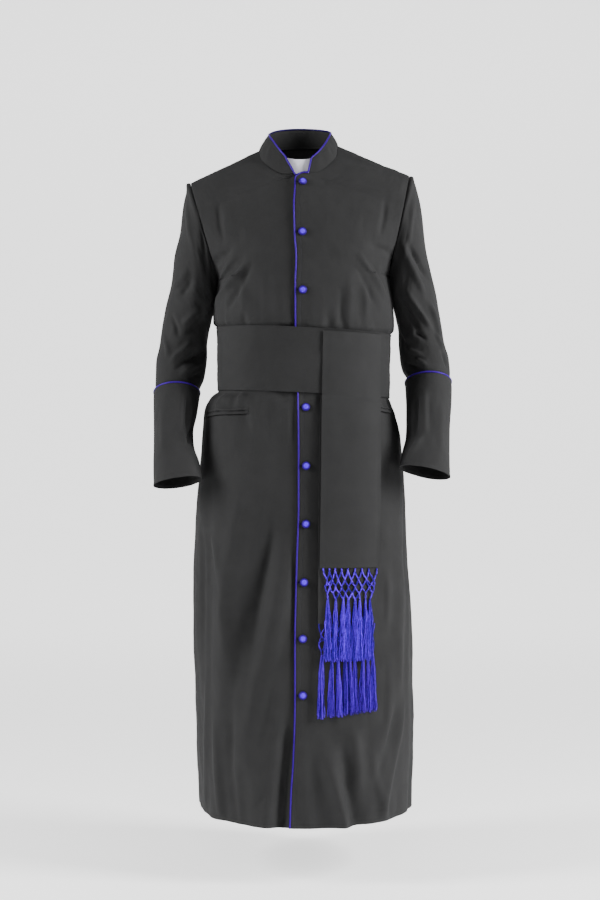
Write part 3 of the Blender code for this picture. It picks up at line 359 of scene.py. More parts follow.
def normals(grid, wrap=False):
    """Unit normals of a grid of points, rows down and columns across."""
    g = np.asarray(grid, float)
    down = np.gradient(g, axis=0)
    if wrap:
        across = (np.roll(g, -1, axis=1) - np.roll(g, 1, axis=1)) / 2
    else:
        across = np.gradient(g, axis=1)
    n = np.cross(across, down)
    length = np.linalg.norm(n, axis=-1, keepdims=True)
    return n / np.maximum(length, 1e-12)


def outward(n, grid, middle=(0.0, 0.0)):
    """Turn the normals so that most point away from the vertical line through middle."""
    away = grid[..., :2] - np.array(middle)
    return n if (n[..., :2] * away).sum() > 0 else -n


# ------------------------------------------------------------------ rows of the body
def yoke_rows(face, low=6, high=0):
    """Rows of the yoke, shoulder first: `high` of them end on the neckline."""
    start, high = (PIT_ROW, high or 8) if face < 0 else (NAPE_ROW, high or 6)
    return np.concatenate([np.linspace(1, start, high + 1), np.linspace(start, 0, low + 1)[1:]])


def skirt_drops(count):
    """Close together round the band, wider apart below."""
    stops = ((0, 0.285), (4, 0.374), (5, 0.389), (6, 0.402), (8, 0.541), (9, 0.556), (10, 0.580),
             (11, 0.616), (13, 0.704), (20, HEM))
    at = np.linspace(0, 20, count)
    return np.interp(at, [s[0] for s in stops], [s[1] for s in stops])


def quarter(side, face, yokes, drops, parts):
    """Points of a quarter of the body, shoulder to hem, centre to side, with its folds."""
    top = yoke(side, face, yokes, parts)
    low = skirt(side, face, drops[1:, None], parts[None, :] * math.pi / 2)
    grid = np.concatenate([top, low])
    n = outward(normals(grid), grid)
    n = seam_normals(n, side, face, len(yokes))
    around = side * (parts * math.pi / 2 if face < 0 else math.pi - parts * math.pi / 2)
    return grid + n * folded(-grid[..., 2], around[None, :])[..., None], n


def front_at(x, drop, out=0.0, folds=True):
    """Point of the front at x and drop, moved out from the cloth."""
    x, drop = np.broadcast_arrays(np.asarray(x, float), np.asarray(drop, float))
    p = []
    for e in ((0.0, 0.0), (0.002, 0.0), (0.0, 0.002)):
        xx, dd = x + e[0], drop + e[1]
        side_half = np.where(xx < 0, half(-1, dd), half(1, dd))
        deep = body_value("front", dd)
        share = np.clip(np.abs(xx) / side_half, 0, 1)
        z = -dd + body_value("tilt", dd) * xx + hem_rise(dd, share)
        p.append(np.stack([xx, -deep * (1 - share**ROUND) ** (1 / ROUND), z], axis=-1))
    n = np.cross(p[1] - p[0], p[2] - p[0])
    n /= np.linalg.norm(n, axis=-1, keepdims=True)
    n = np.where(n[..., 1:2] > 0, -n, n)
    return p[0] + n * np.asarray(out)[..., None] if np.ndim(out) else p[0] + n * out, n


def across(x_left, x_right, drop, u):
    """x from one edge to the other, evenly spaced round the section. Both edges on one side."""
    side = np.sign(x_left + x_right)
    w = half(-1, drop) if np.all(side < 0) else half(1, drop)
    a, b = (np.arcsin(np.clip(np.abs(x) / w, 0, 0.9999) ** (ROUND / 2)) for x in (x_left, x_right))
    return side * w * np.sin(a + (b - a) * u) ** (2 / ROUND)




# ------------------------------------------------------------------ picture frame
CAMERA_AT = (0.0, -3.6, -0.66)
FOCAL = 1636.4           # in pixels of a 600 x 900 frame
LENS = FOCAL * 36 / 900


def seen(points):
    """Where points fall in the 600 x 900 frame."""
    depth = points[..., 1] - CAMERA_AT[1]
    return np.stack([300 + FOCAL * points[..., 0] / depth,
                     450 - FOCAL * (points[..., 2] - CAMERA_AT[2]) / depth], axis=-1)


def on_front(u, v, out=0.0):
    """Point of the front that shows at (u, v) in the frame, moved out from the cloth."""
    y = -0.15
    for _ in range(6):
        k = (y - CAMERA_AT[1]) / FOCAL
        x, z = (u - 300) * k, CAMERA_AT[2] - (v - 450) * k
        drop = -z + float(body_value("tilt", -z)) * x
        p, n = front_at(x, drop, 0.0)
        p = p + n * out
        y = float(p[1])
    return p, n


# ------------------------------------------------------------------ soft noise
def lattice(seed, rows=64, cols=64):
    return np.random.RandomState(seed).uniform(-1, 1, (rows, cols))


def field(u, v, size_u, size_v, seed):
    """Smooth random field, about -1 to 1, with features of the given sizes in metres."""
    grid = lattice(seed)
    a, b = np.asarray(u) / size_u + 300.5, np.asarray(v) / size_v + 300.5
    a, b = np.broadcast_arrays(a, b)
    i, j = np.floor(a).astype(int), np.floor(b).astype(int)
    s, t = ease(a - i), ease(b - j)
    g = lambda p, q: grid[p % 64, q % 64]
    return ((g(i, j) * (1 - s) + g(i + 1, j) * s) * (1 - t)
            + (g(i, j + 1) * (1 - s) + g(i + 1, j + 1) * s) * t) * 1.35


# ------------------------------------------------------------------ creases
CREASE_NAMES = ("u0", "v0", "u1", "v1", "u2", "v2", "left", "right", "height", "open")
# placed by where they show from the front; left and right are the widths of the two flanks, in
# metres; open 1 runs out at full height at the low end
FRONT_CREASES = (
    (207.7, 523, 216, 556, 223.5, 591, 0.010, 0.014, 0.0026, 0),
    (225, 590, 226, 630, 223, 672, 0.014, 0.016, 0.0030, 0),
    (201.5, 510, 201.5, 590, 202, 680, 0.010, 0.011, -0.0028, 0),
    (205, 600, 206, 700, 205.5, 799, 0.011, 0.012, 0.0024, 1),
    (274, 470, 263, 590, 240, 700, 0.013, 0.016, -0.0052, 0),
    (289, 520, 276, 640, 240, 788, 0.020, 0.013, 0.0046, 0),
    (243, 470, 230, 560, 214, 660, 0.020, 0.018, 0.0040, 0),
    (255, 600, 247, 660, 226, 752, 0.014, 0.014, 0.0024, 0),
    (291.6, 715, 286, 761, 282.5, 824, 0.012, 0.006, -0.0050, 1),
    (272, 785, 262, 800, 248, 813, 0.006, 0.009, -0.0020, 0),
    (279, 640, 276, 720, 266, 824, 0.012, 0.012, 0.0030, 1),
    (216, 700, 218, 760, 222, 812, 0.010, 0.012, 0.0034, 1),
    (236, 690, 232, 750, 236, 820, 0.012, 0.010, -0.0034, 1),
    (406, 690, 396, 748, 381, 812, 0.012, 0.010, 0.0040, 1),
    (400, 690, 386, 745, 370, 800, 0.012, 0.012, -0.0036, 0),
    (351, 722, 355, 750, 362, 800, 0.011, 0.012, 0.0034, 0),
    (322, 748, 334, 785, 345, 822, 0.014, 0.011, 0.0046, 1),
    (341, 765, 347, 796, 352, 820, 0.010, 0.012, -0.0044, 1),
    (387, 566, 386, 600, 384, 640, 0.012, 0.014, 0.0030, 0),
    (396, 620, 398, 660, 396, 710, 0.013, 0.013, 0.0022, 0),
    (408, 540, 408, 640, 407, 740, 0.014, 0.012, 0.0020, 0),
    (402, 455, 404, 520, 404, 590, 0.010, 0.008, -0.0022, 0),
    (303, 716, 305, 770, 309, 826, 0.010, 0.012, 0.0030, 1),
    (370, 742, 377, 782, 384, 815, 0.010, 0.012, 0.0026, 1),
    # chest and shoulders
    (212, 308, 231, 284, 252, 252, 0.009, 0.011, 0.0050, 0),
    (223, 318, 238, 292, 254, 262, 0.009, 0.010, -0.0046, 0),
    (207, 264, 222, 258, 242, 240, 0.007, 0.010, -0.0034, 0),
    (211, 288, 224, 272, 242, 250, 0.008, 0.009, 0.0034, 0),
    (357, 250, 374, 276, 388, 304, 0.010, 0.009, 0.0048, 0),
    (366, 246, 382, 249, 393, 256, 0.006, 0.008, -0.0036, 0),
    (352, 262, 368, 288, 379, 312, 0.009, 0.009, -0.0038, 0),
    (349, 268, 350, 300, 349, 326, 0.009, 0.010, 0.0026, 0),
    (341, 284, 341, 306, 340, 326, 0.007, 0.008, -0.0018, 0),
    (364, 276, 366, 300, 366, 326, 0.008, 0.009, 0.0022, 0),
    (239, 262, 243, 296, 244, 325, 0.011, 0.012, 0.0024, 0),
    (266, 256, 266, 296, 269, 325, 0.013, 0.014, 0.0022, 0),
    (279, 268, 280, 296, 281, 324, 0.009, 0.010, -0.0016, 0),
    (216, 196, 219, 222, 224, 246, 0.008, 0.010, -0.0022, 0),
    (388, 192, 384, 218, 378, 240, 0.010, 0.008, -0.0022, 0),
    (318, 184, 326, 181.5, 338, 174, 0.005, 0.005, -0.0012, 0),
    (262, 164, 272, 175, 285, 182, 0.004, 0.006, -0.0012, 0),
    # under the band
    (214, 399, 222, 409, 238, 418, 0.006, 0.009, 0.0022, 0),
    (245, 397, 252, 414, 254, 440, 0.008, 0.008, 0.0020, 0),
    (268, 397, 270, 420, 266, 452, 0.009, 0.008, -0.0020, 0),
    (284, 396, 287, 425, 285, 470, 0.008, 0.010, 0.0022, 0),
    (390, 400, 395, 420, 399, 452, 0.007, 0.007, 0.0024, 0),
    (400, 398, 404, 414, 409, 430, 0.006, 0.006, -0.0020, 0),
)
BACK_CREASE_NAMES = ("x0", "d0", "x1", "d1", "x2", "d2", "left", "right", "height", "open")
BACK_CREASES = (
    (-0.040, 0.600, -0.046, 1.000, -0.062, 1.445, 0.016, 0.010, 0.0060, 1),
    (-0.020, 0.640, -0.024, 1.050, -0.030, 1.445, 0.010, 0.014, -0.0045, 1),
    (0.048, 0.660, 0.058, 1.050, 0.072, 1.445, 0.012, 0.018, 0.0060, 1),
    (0.026, 0.720, 0.030, 1.100, 0.036, 1.445, 0.012, 0.010, -0.0045, 1),
    (-0.098, 0.700, -0.110, 1.080, -0.118, 1.445, 0.012, 0.016, -0.0060, 1),
    (0.104, 0.740, 0.118, 1.120, 0.132, 1.445, 0.016, 0.012, -0.0055, 1),
    (-0.150, 0.640, -0.162, 1.050, -0.172, 1.445, 0.016, 0.014, 0.0050, 1),
    (0.160, 0.700, 0.172, 1.060, 0.190, 1.445, 0.014, 0.016, 0.0055, 1),
    (-0.188, 0.800, -0.200, 1.120, -0.205, 1.400, 0.010, 0.012, -0.0030, 0),
    (0.205, 0.820, 0.214, 1.140, 0.220, 1.400, 0.012, 0.010, -0.0034, 0),
    (-0.155, 0.200, -0.120, 0.265, -0.075, 0.300, 0.012, 0.009, 0.0032, 0),
    (-0.150, 0.232, -0.118, 0.288, -0.080, 0.322, 0.008, 0.010, -0.0028, 0),
    (0.165, 0.190, 0.130, 0.250, 0.090, 0.290, 0.009, 0.012, 0.0034, 0),
    (0.158, 0.228, 0.128, 0.280, 0.085, 0.318, 0.010, 0.008, -0.0028, 0),
    (-0.165, 0.300, -0.135, 0.340, -0.090, 0.372, 0.008, 0.009, 0.0030, 0),
    (0.170, 0.296, 0.140, 0.336, 0.100, 0.370, 0.009, 0.008, 0.0028, 0),
    (-0.030, 0.300, -0.028, 0.345, -0.030, 0.388, 0.010, 0.009, 0.0024, 0),
    (0.040, 0.296, 0.036, 0.342, 0.040, 0.388, 0.009, 0.010, 0.0024, 0),
    (0.006, 0.040, 0.002, 0.130, 0.004, 0.220, 0.012, 0.012, -0.0016, 0),
    (-0.120, 0.552, -0.100, 0.590, -0.070, 0.620, 0.008, 0.009, 0.0024, 0),
    (0.130, 0.552, 0.105, 0.586, 0.080, 0.625, 0.009, 0.008, 0.0024, 0),
)
SLEEVE_CREASES_RIGHT = (
    (189, 268, 181, 281, 171.5, 292, 0.007, 0.005, 0.0034, 0),
    (194, 276, 186, 288, 176, 300, 0.005, 0.007, -0.0034, 0),
    (201, 306, 191, 317, 179, 328, 0.007, 0.005, 0.0036, 0),
    (205, 313, 196, 325, 183, 336, 0.005, 0.008, -0.0036, 0),
    (193, 341, 181, 351, 168, 366, 0.006, 0.005, 0.0044, 0),
    (197, 347, 186, 358, 172, 371, 0.004, 0.005, -0.0032, 0),
    (206, 350, 197, 357, 178, 366, 0.005, 0.006, -0.0056, 0),
    (204, 361, 192, 367, 178, 375, 0.005, 0.006, 0.0032, 0),
    (203, 372, 196, 376, 186, 379, 0.004, 0.004, -0.0026, 0),
    (213, 292, 208, 306, 199, 321, 0.006, 0.006, 0.0026, 0),
    (186, 196, 189, 226, 190, 256, 0.012, 0.012, 0.0022, 0),
    (199, 225, 204, 250, 205, 280, 0.008, 0.009, -0.0026, 0),
    (170, 314, 176, 325, 178, 340, 0.006, 0.006, -0.0024, 0),
    (163, 334, 167, 348, 166, 360, 0.005, 0.006, 0.0024, 0),
)
SLEEVE_CREASES_LEFT = (
    (397, 240, 413, 270, 428, 299, 0.006, 0.007, 0.0046, 0),
    (404, 240, 418, 262, 430, 284, 0.005, 0.005, -0.0046, 0),
    (428, 299, 436, 322, 443, 347, 0.007, 0.006, 0.0036, 0),
    (403, 285, 420, 311, 434, 331, 0.005, 0.006, 0.0042, 0),
    (397, 292, 411, 317, 424, 336, 0.006, 0.006, -0.0046, 0),
    (434, 331, 439, 342, 443, 353, 0.005, 0.005, 0.0030, 0),
    (413, 331, 420, 335, 428, 341, 0.004, 0.005, -0.0040, 0),
    (404, 344, 414, 351, 425, 356, 0.005, 0.006, 0.0032, 0),
    (415, 356, 421, 360, 428, 363, 0.004, 0.004, 0.0030, 0),
    (403, 361, 415, 367, 430, 370, 0.004, 0.005, -0.0042, 0),
    (402, 372, 412, 376, 424, 377, 0.004, 0.004, 0.0024, 0),
    (399, 322, 404, 334, 413, 345, 0.005, 0.005, 0.0030, 0),
    (414, 196, 411, 224, 410, 252, 0.012, 0.012, 0.0022, 0),
    (440, 349, 444, 358, 447, 368, 0.004, 0.005, -0.0028, 0),
)
# on the sides of the sleeves that the front view hides: along the sleeve and the turn round it
HIDDEN_NAMES = ("side", "along0", "turn0", "along1", "turn1", "along2", "turn2", "left", "right",
                "height", "open")
HIDDEN_SLEEVE_CREASES = (
    (-1, 0.30, 5.7, 0.40, 5.1, 0.48, 4.5, 0.007, 0.006, 0.0034, 0),
    (-1, 0.42, 5.9, 0.52, 5.3, 0.60, 4.7, 0.006, 0.007, -0.0034, 0),
    (-1, 0.55, 5.6, 0.64, 5.0, 0.70, 4.2, 0.006, 0.007, 0.0040, 0),
    (-1, 0.66, 5.9, 0.74, 5.2, 0.78, 4.4, 0.006, 0.006, -0.0038, 0),
    (-1, 0.76, 5.7, 0.84, 5.1, 0.88, 4.3, 0.005, 0.006, 0.0034, 0),
    (-1, 0.20, 4.4, 0.32, 4.1, 0.44, 4.0, 0.008, 0.008, -0.0026, 0),
    (1, 0.28, 5.8, 0.38, 5.2, 0.46, 4.4, 0.006, 0.007, 0.0036, 0),
    (1, 0.44, 5.7, 0.52, 5.0, 0.58, 4.4, 0.007, 0.006, -0.0036, 0),
    (1, 0.58, 5.8, 0.66, 5.2, 0.72, 4.4, 0.007, 0.006, 0.0042, 0),
    (1, 0.68, 5.6, 0.76, 5.0, 0.80, 4.2, 0.006, 0.006, -0.0034, 0),
    (1, 0.80, 5.8, 0.86, 5.2, 0.90, 4.5, 0.005, 0.006, 0.0032, 0),
    (1, 0.18, 4.6, 0.30, 4.2, 0.42, 4.0, 0.008, 0.008, -0.0026, 0),
)
CUFF_CREASES_RIGHT = (
    (180, 383, 180, 409, 181, 438, 0.014, 0.006, 0.0040, 0),
    (181, 430, 188, 445, 200, 466, 0.009, 0.006, 0.0036, 0),
    (187.5, 386, 188.5, 412, 189, 440, 0.006, 0.008, -0.0056, 0),
    (197, 424, 190, 436, 184, 446, 0.005, 0.006, -0.0040, 0),
    (164, 400, 163, 430, 165, 462, 0.010, 0.010, 0.0016, 0),
)
CUFF_CREASES_LEFT = (
    (425, 383, 425.5, 410, 424, 440, 0.006, 0.014, 0.0040, 0),
    (417, 384, 416, 412, 414, 440, 0.008, 0.006, -0.0048, 0),
    (424, 432, 415, 447, 404, 464, 0.006, 0.009, 0.0034, 0),
    (441, 400, 441, 430, 440, 466, 0.010, 0.010, 0.0016, 0),
)


def bend_of(points, count=18):
    """Smooth line through three control points."""
    p0, p1, p2 = (np.array(p, float) for p in points)
    t = np.linspace(0, 1, count)[:, None]
    c = 2 * p1 - (p0 + p2) / 2
    return (1 - t) ** 2 * p0 + 2 * t * (1 - t) * c + t**2 * p2


def crease(u, v, controls, left, right, height, is_open, period=None):
    """One soft ridge (+) or trough (-) along a line in the cloth's own plane, in metres."""
    line = bend_of(controls)
    best = np.full(u.shape, 1e9)
    off, at = np.zeros(u.shape), np.zeros(u.shape)
    total = len(line) - 1
    if period is not None:
        u = (u - line[:, 0].mean() + period / 2) % period + line[:, 0].mean() - period / 2
    for k in range(total):
        a, b = line[k], line[k + 1]
        d = b - a
        length = max(math.hypot(*d), 1e-9)
        s = ((u - a[0]) * d[0] + (v - a[1]) * d[1]) / length**2
        t = np.clip(s, 0, 1)
        du, dv = u - a[0] - d[0] * t, v - a[1] - d[1] * t
        dist = np.hypot(du, dv)
        near = dist < best
        sign = np.where((u - a[0]) * d[1] - (v - a[1]) * d[0] > 0, 1.0, -1.0)
        best = np.where(near, dist, best)
        off = np.where(near, sign, off)
        at = np.where(near, (k + t) / total, at)
    width = np.where(off > 0, right, left)
    shape = np.exp(-((best / width) ** 2))
    fade = ease(at / 0.38)
    if not is_open:
        fade = fade * ease((1 - at) / 0.38)
    return height * shape * fade


# ------------------------------------------------------------------ the body, finely
def metric(around, drop):
    """Cloth coordinates in metres: round the body and down it."""
    return around * (half(1, drop) + body_value("front", drop)) / 2


def yoke_fine(side, face, row, part):
    """As yoke, with parts given for each row."""
    a, b = centre_line(side, face, row)[:, None, :], armhole(side, face, row)[:, None, :]
    most = np.radians(smooth(row, column(ARCH, ARCH_NAMES, "row"),
                             column(ARCH, ARCH_NAMES, "degrees")))[:, None]
    angle = part * most
    p = 2 / ROUND
    share = (np.sin(angle) / np.sin(most)) ** p
    bend = (1 - np.cos(angle).clip(0, 1) ** p) / (1 - np.cos(most).clip(0, 1) ** p)
    x = a[..., 0] + (b[..., 0] - a[..., 0]) * share
    z = a[..., 2] + (b[..., 2] - a[..., 2]) * share
    y = a[..., 1] + (b[..., 1] - a[..., 1]) * bend
    return np.stack([x, y, z], axis=-1)


def body_grid(side, face, rows, drops, part):
    """Points and the angle round the body. part may be below 0: past the centre line."""
    across_ = np.abs(part)
    here = np.concatenate([yoke_fine(side, face, rows, across_[:len(rows)]),
                           skirt(side, face, drops[:, None], across_[len(rows):] * math.pi / 2)])
    if (part < 0).any():
        there = np.concatenate([yoke_fine(-side, face, rows, across_[:len(rows)]),
                                skirt(-side, face, drops[:, None],
                                      across_[len(rows):] * math.pi / 2)])
        here = np.where((part < 0)[..., None], there, here)
    turn = part * math.pi / 2
    around = side * (turn if face < 0 else math.pi - turn)
    return here, around


def place_front():
    """A coarse map from the frame to the cloth's coordinates on the front."""
    rows, drops = np.linspace(1, 0, 90), np.linspace(0.286, HEM, 300)
    at, cloth = [], []
    for side in (-1, 1):
        part = np.repeat(np.linspace(0, 1, 110)[None, :], 390, axis=0)
        p, around = body_grid(side, -1, rows, drops, part)
        at.append(seen(p).reshape(-1, 2))
        drop = -p[..., 2]
        cloth.append(np.stack([metric(around, drop), drop], axis=-1).reshape(-1, 2))
    return np.concatenate(at), np.concatenate(cloth)


def lookup(at, cloth, u, v):
    return cloth[int(np.argmin((at[:, 0] - u) ** 2 + (at[:, 1] - v) ** 2))]


def body_creases():
    at, cloth = place_front()
    made = []
    for u0, v0, u1, v1, u2, v2, left, right, height, is_open in FRONT_CREASES:
        made.append(([lookup(at, cloth, *q) for q in ((u0, v0), (u1, v1), (u2, v2))],
                     left, right, height * (1.7 if v0 > 420 else 1.5), is_open))
    for x0, d0, x1, d1, x2, d2, left, right, height, is_open in BACK_CREASES:
        controls = []
        for x, d in ((x0, d0), (x1, d1), (x2, d2)):
            w = float(half(-1 if x < 0 else 1, max(d, 0.285)))
            turn = math.asin(min(1.0, abs(x) / w) ** (ROUND / 2))
            controls.append((float(metric(np.sign(x) * (math.pi - turn), d)), d))
        made.append((controls, left, right, height, is_open))
    return made


BODY_CREASES = body_creases()
TILT_Z = 0.045
PIPE_R = 0.0020          # the cord with the cloth that covers it


def surface(around, points):
    """How far the fine cloth stands out from the plain form at each point."""
    drop = -points[..., 2]
    u = metric(around, drop)
    x = points[..., 0]
    level = drop + body_value("tilt", drop) * 0.0
    total = 1.25 * folded(drop, around)
    period = 2 * math.pi * (0.2268 + 0.1785) / 2
    for controls, left, right, height, is_open in BODY_CREASES:
        # only near the crease
        lo = min(c[1] for c in controls) - 0.06
        hi = max(c[1] for c in controls) + 0.06
        rows = np.where((level.min(axis=1) < hi) & (level.max(axis=1) > lo))[0]
        if len(rows) == 0:
            continue
        r = slice(rows[0], rows[-1] + 1)
        wrap = 2 * math.pi * float(metric(1.0, controls[1][1]))
        total[r] += crease(u[r], drop[r], controls, left, right, height, is_open, wrap)
    # long shallow waves of the skirt, growing to the hem, and softer ones on the chest
    lower = ease((drop - 0.60) / 0.70)
    total += lower * 0.0030 * field(u, drop, 0.050, 0.42, 3)
    total += lower * 0.0016 * field(u, drop, 0.026, 0.22, 4)
    total += 0.0010 * field(u, drop, 0.060, 0.080, 5)
    total += 0.0005 * field(u, drop, 0.022, 0.036, 6)
    total += 0.00022 * field(u, drop, 0.009, 0.013, 7)
    # gathers above and below the band, following its slope
    band = level - TILT_Z * x
    above = np.exp(-np.abs(band - 0.389) / 0.030) * (band < 0.400)
    below = np.exp(-np.abs(band - 0.552) / 0.040) * (band > 0.540)
    total += above * 0.0024 * field(u, drop, 0.013, 0.090, 8)
    total += below * 0.0026 * field(u, drop, 0.015, 0.120, 9)
    inside = ease((band - 0.392) / 0.012) * (1 - ease((band - 0.536) / 0.014))
    total *= 1 - 0.93 * inside
    return total


def underarm(points, part):
    """The side swells a little below the underarm, where the sleeve rests against it."""
    drop = -points[..., 2]
    wide = ease((part - 0.84) / 0.14)
    left = (points[..., 0] > 0) * 1.0
    return (0.0017 * np.exp(-(((drop - 0.312) / 0.030) ** 2)) * wide
            + left * 0.0034 * np.exp(-(((drop - 0.288) / 0.022) ** 2)) * wide
            + 0.0032 * np.exp(-(((drop - 0.5465 - TILT_Z * points[..., 0]) / 0.0075) ** 2)) * wide)


def clear_of_falls(points, total):
    """Keeps the cloth under the hanging falls from standing through them."""
    x, drop = points[..., 0], -points[..., 2]
    near = (ease((x + 0.010) / 0.040) * (1 - ease((x - 0.172) / 0.014))
            * ease((drop - 0.52) / 0.02) * (1 - ease((drop - 1.225) / 0.03)) * (points[..., 1] < 0))
    limit = 0.0024
    high = np.maximum(total - limit, 0)
    return total - near * (high - 0.0008 * np.tanh(high / 0.0008))


def mesh_piece(name, points, faces, material_of, smooth_faces=True, uv=None):
    mesh = bpy.data.meshes.new(name)
    mesh.from_pydata([tuple(p) for p in points], [], [tuple(f) for f in faces])
    mesh.update()
    if uv is not None:
        layer = mesh.uv_layers.new(name="Cloth")
        index = np.empty(len(mesh.loops), np.int32)
        mesh.loops.foreach_get("vertex_index", index)
        layer.uv.foreach_set("vector", np.asarray(uv, np.float32)[index].ravel())
    mesh.materials.append(material_of)
    obj = bpy.data.objects.new(name, mesh)
    bpy.context.scene.collection.objects.link(obj)
    if smooth_faces:
        mesh.shade_smooth()
        mesh.set_sharp_from_angle(angle=math.radians(60))
    return obj


def lengths(grid, wrap=False):
    """Metric cloth coordinates of a grid: along its columns and down its rows."""
    across_ = np.linalg.norm(np.diff(grid, axis=1), axis=-1)
    u = np.concatenate([np.zeros((grid.shape[0], 1)), np.cumsum(across_, axis=1)], axis=1)
    down = np.linalg.norm(np.diff(grid, axis=0), axis=-1).mean(axis=1)
    v = np.concatenate([[0], np.cumsum(down)])[:, None] + np.zeros_like(u)
    return np.stack([u, v], axis=-1)


def shell(name, outer, inner, material_of, wrap=False, uv=None):
    """Closed thin wall between two grids of points, closed with flat faces at its rims."""
    rows, cols = outer.shape[:2]
    pts = np.concatenate([outer.reshape(-1, 3), inner.reshape(-1, 3)])
    n = rows * cols
    i = np.arange(rows - 1)[:, None]
    j = np.arange(cols if wrap else cols - 1)[None, :]
    k = (j + 1) % cols
    a, b, c, d = (x.ravel() for x in (i * cols + j, (i + 1) * cols + j, (i + 1) * cols + k,
                                      i * cols + k))
    quads = [np.stack([a, b, c, d], axis=1), np.stack([a, d, c, b], axis=1) + n]
    jj = j.ravel()
    kk = k.ravel()
    last = (rows - 1) * cols
    quads.append(np.stack([jj, kk, kk + n, jj + n], axis=1))
    quads.append(np.stack([last + kk, last + jj, last + jj + n, last + kk + n], axis=1))
    if not wrap:
        ii = i.ravel()
        quads.append(np.stack([ii * cols, ii * cols + n, (ii + 1) * cols + n, (ii + 1) * cols], axis=1))
        e = ii * cols + cols - 1
        quads.append(np.stack([e, e + cols, e + cols + n, e + n], axis=1))
    faces = np.concatenate(quads)
    # faces must look outwards
    p = pts[faces]
    volume = (np.cross(p[:, 1] - p[:, 0], p[:, 2] - p[:, 0]) * p[:, 0]).sum() + (
        np.cross(p[:, 2] - p[:, 0], p[:, 3] - p[:, 0]) * p[:, 0]).sum()
    if volume < 0:
        faces = faces[:, ::-1]
    uv = lengths(outer) if uv is None else uv
    both = np.concatenate([uv.reshape(-1, 2), uv.reshape(-1, 2)])
    return mesh_piece(name, pts, faces, material_of, uv=both)


def frames(path, closed=False):
    """Tangents and two steady side directions along a path."""
    p = np.asarray(path, float)
    if closed:
        t = np.roll(p, -1, axis=0) - np.roll(p, 1, axis=0)
    else:
        t = np.gradient(p, axis=0)
    t /= np.maximum(np.linalg.norm(t, axis=1, keepdims=True), 1e-12)
    start = np.array([0.0, -1.0, 0.0]) if abs(t[0][1]) < 0.8 else np.array([1.0, 0.0, 0.0])
    a = np.zeros_like(p)
    prev = start
    for i in range(len(p)):
        prev = prev - t[i] * (prev @ t[i])
        prev /= max(np.linalg.norm(prev), 1e-12)
        a[i] = prev
    return t, a, np.cross(t, a)


def tube_parts(path, radius, sides=8, closed=False, caps=True):
    """Vertices and faces of a round tube; radius may vary along it."""
    p = np.asarray(path, float)
    r = np.broadcast_to(np.asarray(radius, float), (len(p),))
    _, a, b = frames(p, closed)
    ang = np.linspace(0, 2 * math.pi, sides, endpoint=False)
    ring = (p[:, None, :] + r[:, None, None] * (a[:, None, :] * np.cos(ang)[None, :, None]
                                                + b[:, None, :] * np.sin(ang)[None, :, None]))
    verts = ring.reshape(-1, 3)
    faces = []
    count = len(p)
    for i in range(count if closed else count - 1):
        m = (i + 1) % count
        for k in range(sides):
            q = (k + 1) % sides
            faces.append((i * sides + k, i * sides + q, m * sides + q, m * sides + k))
    if not closed and caps:
        faces.append(tuple(range(sides - 1, -1, -1)))
        faces.append(tuple((count - 1) * sides + k for k in range(sides)))
    return verts, faces


def joined(name, parts, material_of):
    verts, faces, base, tones = [], [], 0, []
    rng = np.random.RandomState(len(parts))
    for v, f in parts:
        verts.append(np.asarray(v))
        faces += [tuple(i + base for i in q) for q in f]
        base += len(v)
        tones.append(np.full(len(v), rng.uniform(0, 1)))
    obj = mesh_piece(name, np.concatenate(verts), faces, material_of)
    layer = obj.data.attributes.new("thread_tone", "FLOAT", "POINT")
    layer.data.foreach_set("value", np.concatenate(tones).astype(np.float32))
    return obj


def piping_cord(name, path, closed=False, flip=1):
    """Covered cord with a painted-highlight weight on each point: 1 on its outermost line, where the highlight is
    painted, -1 underneath, where shade is painted.
    """
    sides = 14
    verts, faces = tube_parts(path, PIPE_R, sides, closed=closed)
    obj = mesh_piece(name, verts, faces, PIPING)
    # per-point weight for the painted highlight on the cord's outer line and the painted shade on its flanks and
    # underside
    painted_crown_highlight = np.tile(flip * np.cos(np.linspace(0, 2 * math.pi, sides, endpoint=False)),
                    len(verts) // sides)
    layer = obj.data.attributes.new("painted_crown_highlight", "FLOAT", "POINT")
    layer.data.foreach_set("value", painted_crown_highlight.astype(np.float32))
    return obj


def resample(path, step):
    p = np.asarray(path, float)
    run = np.concatenate([[0], np.cumsum(np.linalg.norm(np.diff(p, axis=0), axis=1))])
    u = np.linspace(0, run[-1], max(3, int(run[-1] / step)))
    return np.stack([np.interp(u, run, p[:, k]) for k in range(3)], axis=-1)


# ------------------------------------------------------------------ materials
def nodes_of(name):
    m = bpy.data.materials.new(name)
    m.use_nodes = True
    nt = m.node_tree
    shader = next(n for n in nt.nodes if n.type == "BSDF_PRINCIPLED")
    return m, nt, shader


def add(nt, kind, **values):
    n = nt.nodes.new(kind)
    for key, value in values.items():
        if key in n.inputs:
            n.inputs[key].default_value = value
        else:
            setattr(n, key, value)
    return n


def link(nt, a, b):
    nt.links.new(a, b)


def math_node(nt, operation, a, b=None, c=None):
    n = nt.nodes.new("ShaderNodeMath")
    n.operation = operation
    for i, x in enumerate((a, b, c)):
        if x is None:
            continue
        if hasattr(x, "links"):
            nt.links.new(x, n.inputs[i])
        else:
            n.inputs[i].default_value = x
    return n.outputs[0]


def ramp(nt, value, stops):
    n = nt.nodes.new("ShaderNodeValToRGB")
    e = n.color_ramp.elements
    while len(e) < len(stops):
        e.new(0.5)
    for el, (pos, col) in zip(e, stops):
        el.position = pos
        el.color = (*col, 1.0)
    nt.links.new(value, n.inputs[0])
    return n.outputs[0]


